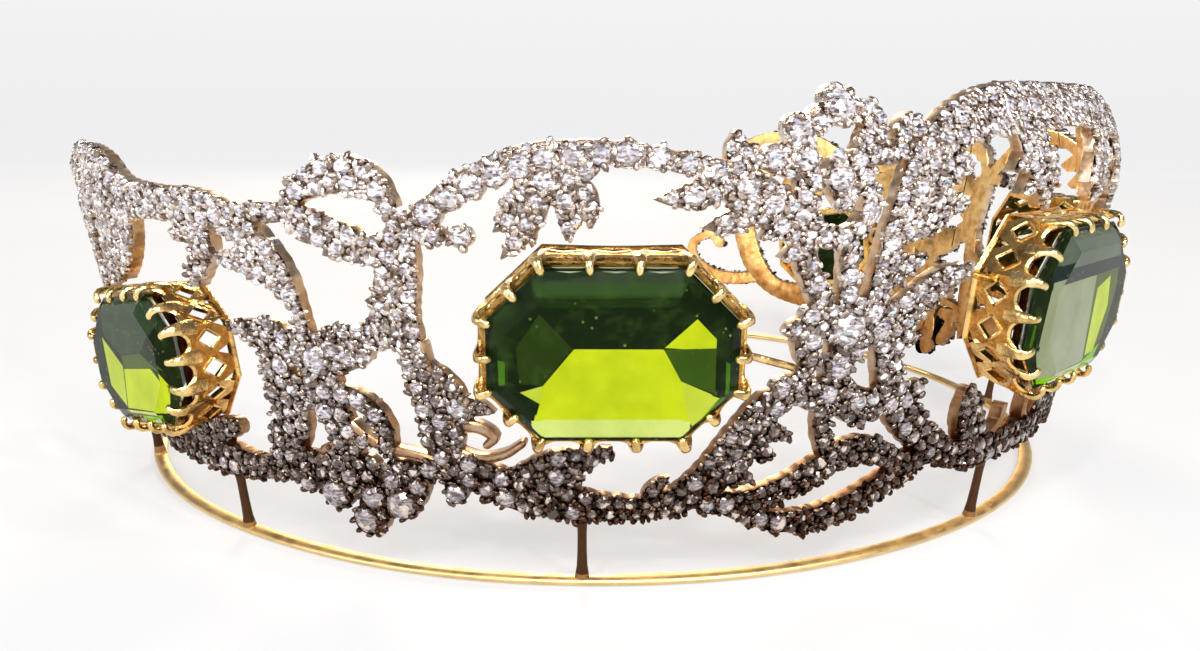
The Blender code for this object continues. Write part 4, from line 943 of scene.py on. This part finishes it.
def setting_ring(shape, x, y, radius, draw, rim=0.5):
    """A round setting's rim with its claws, seen round a main stone or a graded one."""
    outer, inner = radius + rim, radius + 0.02
    top = 1.2 if rim > 0.4 else 1.06
    rows = ((outer, BAND_BACK + 0.2), (outer, top - 0.15), (outer - 0.1, top), (inner, top - 0.06), (inner, 0.6))
    points, faces = [], []
    sides = 28 if rim > 0.4 else 18
    for reach, out in rows:
        for index in range(sides):
            turn = math.tau * index / sides
            points.append((x + reach * math.cos(turn), y + reach * math.sin(turn), out))
    for level in range(len(rows) - 1):
        for index in range(sides):
            after = (index + 1) % sides
            faces.append((level * sides + index, level * sides + after,
                          (level + 1) * sides + after, (level + 1) * sides + index))
    shape.add(points, faces, [SILVER] * len(faces), [0.75] * len(faces))
    count = 8 if radius > 1.5 else 5
    phase = draw.uniform(0, math.tau)
    for index in range(count):
        turn = phase + math.tau * index / count
        reach = radius + 0.1
        size = 1.35 if rim > 0.4 else draw.uniform(0.85, 1.2)
        add_bead(shape, x + reach * math.cos(turn), y + reach * math.sin(turn), top + 0.12, size, draw)


# Finishes

def new_material(name):
    material = bpy.data.materials.new(name)
    material.use_nodes = True
    return material, material.node_tree, material.node_tree.nodes["Principled BSDF"]


def ramp_node(tree, source, stops, stepped=False):
    ramp = tree.nodes.new("ShaderNodeValToRGB")
    if stepped:
        ramp.color_ramp.interpolation = "CONSTANT"
    elements = ramp.color_ramp.elements
    while len(elements) < len(stops):
        elements.new(0.5)
    for element, (position, colour) in zip(elements, stops):
        element.position = position
        element.color = (*colour, 1.0)
    tree.links.new(source, ramp.inputs["Fac"])
    return ramp.outputs["Color"]


def cell_node(tree, scale, output="Color", flatten=1.0):
    """Small cells of random colour, or the distance from each cell's middle."""
    place = tree.nodes.new("ShaderNodeTexCoord")
    squash = tree.nodes.new("ShaderNodeMapping")
    squash.inputs["Scale"].default_value = (1.0, 1.0, flatten)
    cells = tree.nodes.new("ShaderNodeTexVoronoi")
    cells.inputs["Scale"].default_value = scale
    tree.links.new(place.outputs["Object"], squash.inputs["Vector"])
    tree.links.new(squash.outputs["Vector"], cells.inputs["Vector"])
    return cells.outputs[output]


def red_of(tree, colour):
    split = tree.nodes.new("ShaderNodeSeparateColor")
    tree.links.new(colour, split.inputs["Color"])
    return split.outputs["Red"]


def noise_node(tree, scale, detail=3.0, roughness=0.6, flatten=1.0):
    """A noise value. Flattened above 1, its spots become level streaks."""
    place = tree.nodes.new("ShaderNodeTexCoord")
    squash = tree.nodes.new("ShaderNodeMapping")
    squash.inputs["Scale"].default_value = (1.0, 1.0, flatten)
    noise = tree.nodes.new("ShaderNodeTexNoise")
    noise.inputs["Scale"].default_value = scale
    noise.inputs["Detail"].default_value = detail
    noise.inputs["Roughness"].default_value = roughness
    tree.links.new(place.outputs["Object"], squash.inputs["Vector"])
    tree.links.new(squash.outputs["Vector"], noise.inputs["Vector"])
    return noise.outputs["Fac"]


def mix_node(tree, kind, factor, first, second):
    mix = tree.nodes.new("ShaderNodeMix")
    mix.data_type = "RGBA"
    mix.blend_type = kind
    if isinstance(factor, float):
        mix.inputs["Factor"].default_value = factor
    else:
        tree.links.new(factor, mix.inputs["Factor"])
    for socket, value in ((mix.inputs[6], first), (mix.inputs[7], second)):
        if isinstance(value, tuple):
            socket.default_value = (*value, 1.0)
        else:
            tree.links.new(value, socket)
    return mix.outputs[2]


def map_node(tree, source, low, high, to_low, to_high):
    span = tree.nodes.new("ShaderNodeMapRange")
    for name, value in (("From Min", low), ("From Max", high), ("To Min", to_low), ("To Max", to_high)):
        span.inputs[name].default_value = value
    tree.links.new(source, span.inputs["Value"])
    return span.outputs["Result"]


def tone_of(tree):
    attribute = tree.nodes.new("ShaderNodeAttribute")
    attribute.attribute_name = "tone"
    return attribute.outputs["Fac"]


def height_of(tree, uneven=0.16, cells=0.0):
    """The height over the ground, from 0 low on the band to 1, lower towards the front, made uneven by noise and by
    cells. It drives the painted shade low on the band and towards the front."""
    place = tree.nodes.new("ShaderNodeTexCoord")
    split = tree.nodes.new("ShaderNodeSeparateXYZ")
    tree.links.new(place.outputs["Object"], split.inputs["Vector"])
    height = map_node(tree, split.outputs["Z"], 0.009, 0.0415, 0.0, 1.12)
    # The lean makes the painted shade darker towards the front.
    lean = tree.nodes.new("ShaderNodeMath")
    lean.operation = "ADD"
    tree.links.new(height, lean.inputs[0])
    tree.links.new(map_node(tree, split.outputs["Y"], -0.055, -0.015, -0.13, 0.0), lean.inputs[1])
    total = tree.nodes.new("ShaderNodeMath")
    total.operation = "ADD"
    total.use_clamp = True
    tree.links.new(lean.outputs["Value"], total.inputs[0])
    tree.links.new(map_node(tree, noise_node(tree, 420.0, 4.0), 0.3, 0.7, -uneven, uneven), total.inputs[1])
    if not cells:
        return total.outputs["Value"]
    spread = tree.nodes.new("ShaderNodeMath")
    spread.operation = "ADD"
    spread.use_clamp = True
    tree.links.new(total.outputs["Value"], spread.inputs[0])
    tree.links.new(map_node(tree, red_of(tree, cell_node(tree, 1250.0)), 0.0, 1.0, -0.4 * cells, 0.6 * cells),
                   spread.inputs[1])
    return spread.outputs["Value"]


def bump_from(tree, shader, source, strength, distance):
    bump = tree.nodes.new("ShaderNodeBump")
    bump.inputs["Strength"].default_value = strength
    bump.inputs["Distance"].default_value = distance
    tree.links.new(source, bump.inputs["Height"])
    tree.links.new(bump.outputs["Normal"], shader.inputs["Normal"])


def metal(name, stops, shade_low, roughness, grain, bump, depth=0.00004, spots=0.8, flatten=1.0,
          stain=(0.42, 0.36, 0.32)):
    """A metal whose colour follows its tone, with grain, painted shade darker and browner low on the band and towards
    the front, and a cast skin.
    """
    material, tree, shader = new_material(name)
    shader.inputs["Metallic"].default_value = 1.0
    colour = ramp_node(tree, tone_of(tree), stops)
    worn = ramp_node(tree, noise_node(tree, grain, flatten=flatten),
                     ((0.34, stain), (0.56, (1.0, 1.0, 1.0))))
    colour = mix_node(tree, "MULTIPLY", spots, colour, worn)
    # Painted shade: the colour darkens towards shade_low low on the band and towards the front.
    shade = ramp_node(tree, height_of(tree), ((0.0, shade_low), (1.0, (1.0, 1.0, 1.0))))
    colour = mix_node(tree, "MULTIPLY", 1.0, colour, shade)
    tree.links.new(colour, shader.inputs["Base Color"])
    rough = map_node(tree, noise_node(tree, grain * 1.7), 0.3, 0.7, roughness * 0.7, roughness * 1.4)
    tree.links.new(rough, shader.inputs["Roughness"])
    bump_from(tree, shader, noise_node(tree, grain * 1.5, 4.0, flatten=flatten), bump, depth)
    return material


def make_white_stone(name, low, half, cells):
    """Brilliant-cut stones: each facet's tone is a painted reflection, broken up by small painted bright and dark
    reflections and painted white and coloured glints, with painted shade darker towards the band's foot."""
    material, tree, shader = new_material(name)
    facets = ramp_node(tree, tone_of(tree), ((0.0, (0.07, 0.06, 0.06)), (0.3, (0.30, 0.27, 0.28)),
                                             (0.6, (0.58, 0.56, 0.64)), (1.0, (0.90, 0.90, 0.97))))
    # Painted sparkle: small cells of reflected dark, grey and white, a few of them in the colours of fire.
    sparks = ramp_node(tree, red_of(tree, cell_node(tree, 2100.0, flatten=2.2)), (
        (0.0, (0.03, 0.022, 0.02)), (0.16, (0.15, 0.12, 0.10)), (0.34, (0.38, 0.34, 0.33)),
        (0.54, (0.66, 0.63, 0.67)), (0.74, (0.93, 0.92, 0.98)), (0.93, (0.50, 0.58, 1.0)),
        (0.965, (0.40, 0.90, 0.85)), (0.98, (1.0, 0.80, 0.55))), stepped=True)
    facets = mix_node(tree, "MIX", 0.62, facets, sparks)
    # Painted shade: darker towards the band's foot and front, uneven from cell to cell.
    shade = ramp_node(tree, height_of(tree, cells=cells), ((0.0, low), (0.5, half), (1.0, (0.98, 0.95, 0.94))))
    facets = mix_node(tree, "MULTIPLY", 1.0, facets, shade)
    # Painted glints: white highlights in a share of the cells, warmer and dimmer low on the band.
    glints = ramp_node(tree, red_of(tree, cell_node(tree, 1500.0)), ((0.0, (0.0, 0.0, 0.0)), (0.87, (0.9, 0.9, 0.9))),
                       stepped=True)
    bright = ramp_node(tree, height_of(tree), ((0.0, (0.58, 0.48, 0.40)), (0.6, (0.93, 0.92, 0.96))))
    facets = mix_node(tree, "MIX", red_of(tree, glints), facets, bright)
    tree.links.new(facets, shader.inputs["Base Color"])
    shader.inputs["Metallic"].default_value = 0.3
    shader.inputs["Roughness"].default_value = 0.07
    shader.inputs["IOR"].default_value = 2.0
    shader.inputs["Specular Tint"].default_value = (1.0, 0.93, 0.87, 1.0)
    bump_from(tree, shader, red_of(tree, cell_node(tree, 1800.0)), 0.25, 0.00005)
    return material


def make_green_glass():
    """The clear body of the green stones, with a faint wear on its faces."""
    material, tree, shader = new_material("green_glass")
    shader.inputs["Base Color"].default_value = (0.93, 0.97, 0.66, 1.0)
    shader.inputs["Transmission Weight"].default_value = 1.0
    shader.inputs["IOR"].default_value = 1.2
    shader.inputs["Specular Tint"].default_value = (0.22, 0.28, 0.22, 1.0)
    wear = map_node(tree, noise_node(tree, 260.0, 5.0), 0.45, 0.8, 0.0, 0.05)
    tree.links.new(wear, shader.inputs["Roughness"])
    return material


def make_green_painted_glow():
    """The painted light and dark that shows inside the green stones, a glow of its own, cloudy, with specks in it."""
    material, tree, shader = new_material("green_painted_glow")
    attribute = tree.nodes.new("ShaderNodeAttribute")
    attribute.attribute_name = "tone"
    cloud = ramp_node(tree, noise_node(tree, 170.0, 5.0), ((0.3, (0.74, 0.78, 0.60)), (0.62, (1.0, 1.0, 1.0))))
    lit = mix_node(tree, "MULTIPLY", 1.0, attribute.outputs["Color"], cloud)
    drift = ramp_node(tree, noise_node(tree, 420.0, 5.0, 0.7), ((0.5, (0.0, 0.0, 0.0)), (0.8, (0.034, 0.066, 0.012))))
    lit = mix_node(tree, "ADD", 1.0, lit, drift)
    specks = ramp_node(tree, cell_node(tree, 900.0, "Distance"), ((0.09, (0.26, 0.34, 0.08)), (0.17, (0.0, 0.0, 0.0))))
    patches = ramp_node(tree, noise_node(tree, 200.0), ((0.42, (0.0, 0.0, 0.0)), (0.56, (1.0, 1.0, 1.0))))
    lit = mix_node(tree, "LIGHTEN", 0.8, lit, mix_node(tree, "MULTIPLY", 1.0, specks, patches))
    # Painted glow: the facets' colour is given out as light.
    tree.links.new(lit, shader.inputs["Emission Color"])
    shader.inputs["Emission Strength"].default_value = 1.0
    shader.inputs["Base Color"].default_value = (0.003, 0.007, 0.002, 1.0)
    shader.inputs["Specular IOR Level"].default_value = 0.05
    shader.inputs["Roughness"].default_value = 0.6
    return material


def make_finishes():
    return {
        "silver": metal("silver_front", ((0.0, (0.06, 0.042, 0.034)), (0.2, (0.31, 0.24, 0.20)),
                                         (0.6, (0.62, 0.52, 0.45)), (1.0, (0.97, 0.90, 0.84))),
                        (0.10, 0.055, 0.035), 0.22, 1100.0, 0.9, 0.00012, flatten=2.0),
        "gilt": metal("gilt_side", ((0.0, (0.50, 0.27, 0.07)), (0.3, (0.95, 0.62, 0.24)),
                                    (0.5, (0.66, 0.49, 0.32)), (1.0, (0.92, 0.78, 0.62))),
                      (0.48, 0.33, 0.22), 0.34, 500.0, 0.5, 0.00006, stain=(0.60, 0.42, 0.24)),
        "gold": metal("collet_gold", ((0.0, (0.34, 0.18, 0.045)), (0.4, (0.98, 0.64, 0.21)), (1.0, (1.0, 0.83, 0.40))),
                      (0.84, 0.68, 0.50), 0.2, 420.0, 0.8, 0.00028),
        "wire": metal("wire_gold", ((0.0, (0.05, 0.020, 0.012)), (0.5, (0.40, 0.22, 0.09)), (0.8, (0.84, 0.62, 0.29)),
                                    (1.0, (0.88, 0.67, 0.33))),
                      (0.98, 0.96, 0.92), 0.42, 260.0, 0.15, spots=0.25),
        "white_stone": make_white_stone("white_stone", (0.06, 0.035, 0.023), (0.44, 0.345, 0.295), 0.8),
        "large_white_stone": make_white_stone("large_white_stone", (0.40, 0.34, 0.33), (0.80, 0.75, 0.74), 0.3),
        "green_glass": make_green_glass(),
        "green_painted_glow": make_green_painted_glow(),
    }


# Building the pieces

def build_band(finishes):
    paths = lay_out_band()
    draw = random.Random(11)
    paving = Paving(paths, draw)
    for _, angle, height, diameter in MAIN_STONES:
        paving.put(np.array(sheet_point(angle, height)), diameter / 2 + 0.35, "main")
    for angle, height, diameter in CUP_STONES:
        paving.put(np.array(sheet_point(angle, height)), diameter / 2, "graded")
    for first, last, bow, count, diameter in STONE_ROWS:
        start, end = sheet_point(*first), sheet_point(*last)
        side = Vector((-(end - start).y, (end - start).x)).normalized()
        for index in range(count):
            t = index / (count - 1)
            place = start.lerp(end, t) + side * bow * 4 * t * (1 - t)
            size = diameter * (1.0 if index % 2 == 0 else 0.92)
            paving.put(np.array(place), size / 2, "graded")
    for _, path, kind in paths:
        if kind != "curl":
            paving.put_rows(path[3:-3] if kind == "scroll" else path)
    paving.fill()
    beads = paving.beads()

    metals, stones = {}, {}
    for name, (start, end) in SECTIONS.items():
        metals[name], stones[name] = Shape(), Shape()
        low = math.radians(start) * SHEET_RADIUS + 0.15
        high = min(math.radians(end) * SHEET_RADIUS - 0.15, MIDDLE_X)
        for sections, path, kind in paths:
            if name in sections:
                sweep(metals[name], path, kind, low, high)
    middles = sheet_to_world([(x, y, 1.0) for x, y, _, _ in paving.stones])
    hidden = np.zeros(len(middles), bool)
    for key in LARGE_STONES:
        hidden |= inside_collet(middles, key, 0.3)
    for (x, y, radius, kind), gone in zip(paving.stones, hidden):
        name = section_of(min(x, MIDDLE_X - 0.01), y)
        if gone:
            continue
        if kind == "main":
            setting_ring(metals[name], x, y, radius - 0.35, draw)
            continue
        if kind == "graded":
            setting_ring(metals[name], x, y, radius, draw, 0.24)
        girdle = GIRDLE_OUT + 0.12 * min(radius, 1.2) + draw.uniform(-0.04, 0.05)
        add_stone(stones[name], x, y, radius * 0.97, girdle, draw, rich=radius > 0.62)
    for x, y, radius in beads:
        name = section_of(min(x, MIDDLE_X - 0.01), y)
        girdle = GIRDLE_OUT + 0.06 + 0.1 * min(radius, 1.2)
        add_bead(metals[name], x, y, girdle, draw.uniform(0.7, 1.2), draw)

    for name in SECTIONS:
        across = SECTIONS[name][1] > FRONT
        for label, shape, materials in (("metal", metals[name], (finishes["silver"], finishes["gilt"])),
                                        ("stones", stones[name], (finishes["white_stone"], finishes["large_white_stone"]))):
            points = sheet_to_world(shape.points)
            drop = np.zeros(len(points), bool)
            if label == "metal":
                for key in LARGE_STONES:
                    drop |= inside_collet(points, key, 0.5)
            kept = [index for index, face in enumerate(shape.faces) if not drop[list(face)].all()]
            faces = [shape.faces[index] for index in kept]
            looks = [shape.looks[index] for index in kept]
            tones = [shape.tones[index] for index in kept]
            smooth = 32 if label == "metal" else None
            if across:
                count = len(points)
                both = np.concatenate([points, points * (-1.0, 1.0, 1.0)])
                faces = faces + [tuple(count + index for index in reversed(face)) for face in faces]
                piece = make_object(f"{label}_{name}", both, faces, looks * 2, tones * 2, materials, False, smooth)
                dress(piece, "silver" if label == "metal" else "clear_stone", *((name,) if label == "metal" else ()))
                continue
            for side in ("left", "right"):
                piece = make_object(f"{label}_{name}_{side}", points, faces, looks, tones, materials,
                                    side == "right", smooth)
                dress(piece, "silver" if label == "metal" else "clear_stone",
                      *((f"{name}_{side}",) if label == "metal" else ()))


def build_round_stones(finishes):
    for number, (_, angle, height, diameter) in enumerate(MAIN_STONES, start=1):
        shape = Shape()
        place = sheet_point(angle, height)
        add_stone(shape, place.x, place.y, diameter / 2, SETTING_FRONT - 0.2, random.Random(40 + number), rich=True)
        points = sheet_to_world(shape.points)
        for side in ("left", "right"):
            piece = make_object(f"brilliant_{number}_{side}", points, shape.faces, shape.looks, shape.tones,
                                (finishes["white_stone"], finishes["large_white_stone"]), side == "right")
            dress(piece, "clear_stone", f"round_stone_{number}_{side}")


def build_large_stones(finishes):
    draw = random.Random(5)
    for key, (_, _, _, _, _, size) in LARGE_STONES.items():
        frame = stone_frame(key)
        collet = Shape()
        add_collet_wall(collet, size)
        add_seat(collet, size)
        add_claws(collet, size, draw)
        points = to_world(collet.points, frame)
        for stone, near_angle, near_height, far_angle, far_height in COLLET_BARS:
            if stone != key:
                continue
            ends = [on_band(near_angle + SIDE_STONE_ANGLE, near_height, 0.6),
                    on_band(far_angle + SIDE_STONE_ANGLE, far_height, 0.6)]
            bar = Shape()
            path = [ends[0].lerp(ends[1], step / 6) for step in range(7)]
            tube(bar, path, [0.00045] * 7, 10)
            first = len(points)
            copies = [np.array(bar.points)]
            if key == "front":
                copies.append(np.array(bar.points) * (-1.0, 1.0, 1.0))
            for places in copies:
                first = len(points)
                points = np.concatenate([points, places])
                collet.faces.extend(tuple(first + index for index in face) for face in bar.faces)
                collet.looks.extend(bar.looks)
                collet.tones.extend(bar.tones)
        shell_points, shell_faces = stone_shell(size)
        painted_glow = stone_painted_glow(key)
        for side in (("",) if key == "front" else ("_left", "_right")):
            mirrored = side == "_right"
            wall = make_object(f"gold_collet_{key}{side}", points, collet.faces, collet.looks, collet.tones,
                               (finishes["gold"],), mirrored, 40)
            dress(wall, "gold", f"collet_{key}{side}")
            shell = make_object(f"step_cut_{key}{side}", to_world(shell_points, frame), shell_faces,
                                [0] * len(shell_faces), [0.5] * len(shell_faces), (finishes["green_glass"],), mirrored)
            dress(shell, "green_stone", f"green_stone_{key}{side}")
            glow = make_object(f"facets_{key}{side}", to_world(painted_glow.points, frame), painted_glow.faces, painted_glow.looks,
                               painted_glow.tones, (finishes["green_painted_glow"],), mirrored)
            dress(glow, "green_stone")


def build_hoop(finishes):
    shape = Shape()
    draw = random.Random(3)
    steps = 200
    path = []
    for index in range(steps + 1):
        turn = math.radians(HOOP_HALF_ANGLE * (2 * index / steps - 1))
        fade = 1 - (2 * index / steps - 1) ** 8
        wobble = fade * (0.10 * math.sin(5.3 * turn) + 0.06 * math.sin(11.0 * turn + 1.0))
        place = Vector((math.sin(turn), -math.cos(turn), 0.0)) * (HOOP_RADIUS + wobble)
        path.append(place * MM)
    tube(shape, path, [(HOOP_WIDTH / 2 - 0.02) * MM] * len(path), 18)
    flat = Vector((1.0, 1.0, HOOP_THICKNESS / HOOP_WIDTH))
    rise = Vector((0.0, AXIS_SHIFT, HOOP_THICKNESS / 2)) * MM
    shape.points = [Vector(point) * flat + rise for point in shape.points]
    for angle, top in POSTS:
        turn = math.radians(angle)
        foot = Vector((math.sin(turn) * HOOP_RADIUS, -math.cos(turn) * HOOP_RADIUS + AXIS_SHIFT,
                       HOOP_THICKNESS / 2)) * MM
        head = on_band(angle, top)
        course = [foot.lerp(head, share) for share in (0.0, 0.06, 0.14, 0.24, 0.5, 0.8, 0.93, 1.0)]
        girths = [radius * MM for radius in (0.95, 0.9, 0.78, 0.66, 0.58, 0.56, 0.6, 0.7)]
        first = len(shape.tones)
        # The posts are painted near black, a painted dark reflection and shade on polished metal. The first two spans
        # at the foot take lighter tones.
        tube(shape, course, girths, 12, tone=draw.uniform(0.02, 0.10))
        for step in range(24):
            shape.tones[first + step] = 0.75 - 0.25 * (step // 12)
    hoop = make_object("wire_hoop", shape.points, shape.faces, shape.looks, shape.tones, (finishes["wire"],), False, 50)
    dress(hoop, "gold", "base_hoop")


# The studio

def make_camera():
    """The photograph's camera, from its angle and lens."""
    heading, dip, roll = (math.radians(value) for value in (1.29, 11.48, 0.47))
    forward = Vector((math.sin(heading) * math.cos(dip), math.cos(heading) * math.cos(dip), -math.sin(dip)))
    right = Vector((math.cos(heading), -math.sin(heading), 0.0))
    up = right.cross(forward)
    level, tall = right * math.cos(roll) + up * math.sin(roll), up * math.cos(roll) - right * math.sin(roll)
    place = Vector((-0.0454, -2.5727, 0.736)) * BAND_RADIUS * MM
    pose = Matrix((level, tall, -forward)).transposed().to_4x4()
    pose.translation = place
    camera = bpy.data.objects.new("camera", bpy.data.cameras.new("camera"))
    camera.data.sensor_width = 36.0
    camera.data.lens = 36.0 * 1064.0 / 1200.0
    camera.data.clip_start = 0.005
    bpy.context.scene.collection.objects.link(camera)
    camera.matrix_world = (Matrix.Translation((0.0, AXIS_SHIFT * MM, 0.0))
                           @ Matrix.Rotation(math.radians(SIDE_STONE_ANGLE), 4, "Z") @ pose)
    bpy.context.scene.camera = camera
    return camera


def make_stage():
    mesh = bpy.data.meshes.new("floor")
    bm = bmesh.new()
    bmesh.ops.create_grid(bm, x_segments=8, y_segments=8, size=3.0)
    bm.to_mesh(mesh)
    bm.free()
    floor = bpy.data.objects.new("floor", mesh)
    bpy.context.scene.collection.objects.link(floor)
    material, tree, shader = new_material("pale_floor")
    place = tree.nodes.new("ShaderNodeTexCoord")
    length = tree.nodes.new("ShaderNodeVectorMath")
    length.operation = "LENGTH"
    tree.links.new(place.outputs["Object"], length.inputs[0])
    far = map_node(tree, length.outputs["Value"], 0.15, 0.95, 0.0, 1.0)
    tint = ramp_node(tree, noise_node(tree, 6.0), ((0.3, (0.29, 0.29, 0.295)), (0.7, (0.31, 0.31, 0.31))))
    tint = mix_node(tree, "MIX", far, tint, (0.12, 0.12, 0.12))
    tree.links.new(tint, shader.inputs["Base Color"])
    shader.inputs["Roughness"].default_value = 0.8
    shader.inputs["Specular IOR Level"].default_value = 0.1
    shader.inputs["Emission Color"].default_value = (0.93, 0.93, 0.94, 1.0)
    tree.links.new(map_node(tree, far, 0.0, 1.0, 0.57, 0.87), shader.inputs["Emission Strength"])
    mesh.materials.append(material)

    world = bpy.data.worlds.new("studio")
    bpy.context.scene.world = world
    world.use_nodes = True
    sky = world.node_tree
    place = sky.nodes.new("ShaderNodeTexCoord")
    split = sky.nodes.new("ShaderNodeSeparateXYZ")
    sky.links.new(place.outputs["Generated"], split.inputs["Vector"])
    shade = ramp_node(sky, split.outputs["Z"], ((0.0, (0.86, 0.86, 0.87)), (0.15, (0.92, 0.92, 0.93)),
                                                (0.34, (0.20, 0.20, 0.22)), (1.0, (0.14, 0.14, 0.16))))
    back = sky.nodes["Background"]
    sky.links.new(shade, back.inputs["Color"])
    back.inputs["Strength"].default_value = 1.0
    bpy.context.scene.view_settings.view_transform = "Standard"

    middle = Vector((0.0, 0.0, 0.03))
    lights = (
        ("key", (-0.35, -0.45, 0.65), 0.45, 6.0, (1.0, 0.97, 0.93)),
        ("fill", (-0.75, 0.10, 0.35), 0.5, 2.5, (0.90, 0.94, 1.0)),
        ("rim", (0.45, 0.55, 0.45), 0.35, 4.0, (1.0, 0.86, 0.66)),
        ("glint_a", (-0.20, -0.60, 0.30), 0.04, 1.2, (1.0, 1.0, 1.0)),
        ("glint_b", (-0.60, -0.25, 0.50), 0.04, 1.2, (1.0, 0.95, 0.88)),
        ("glint_c", (0.10, -0.50, 0.55), 0.05, 1.2, (0.92, 0.96, 1.0)),
    )
    for name, place, size, power, colour in lights:
        lamp = bpy.data.lights.new(name, "AREA")
        lamp.shape = "DISK"
        lamp.size = size
        lamp.energy = power
        lamp.color = colour
        obj = bpy.data.objects.new(name, lamp)
        bpy.context.scene.collection.objects.link(obj)
        obj.location = place
        obj.rotation_euler = (middle - Vector(place)).to_track_quat("-Z", "Y").to_euler()


def main():
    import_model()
    make_camera()
    make_stage()
    finishes = make_finishes()
    build_hoop(finishes)
    build_band(finishes)
    build_round_stones(finishes)
    build_large_stones(finishes)


main()
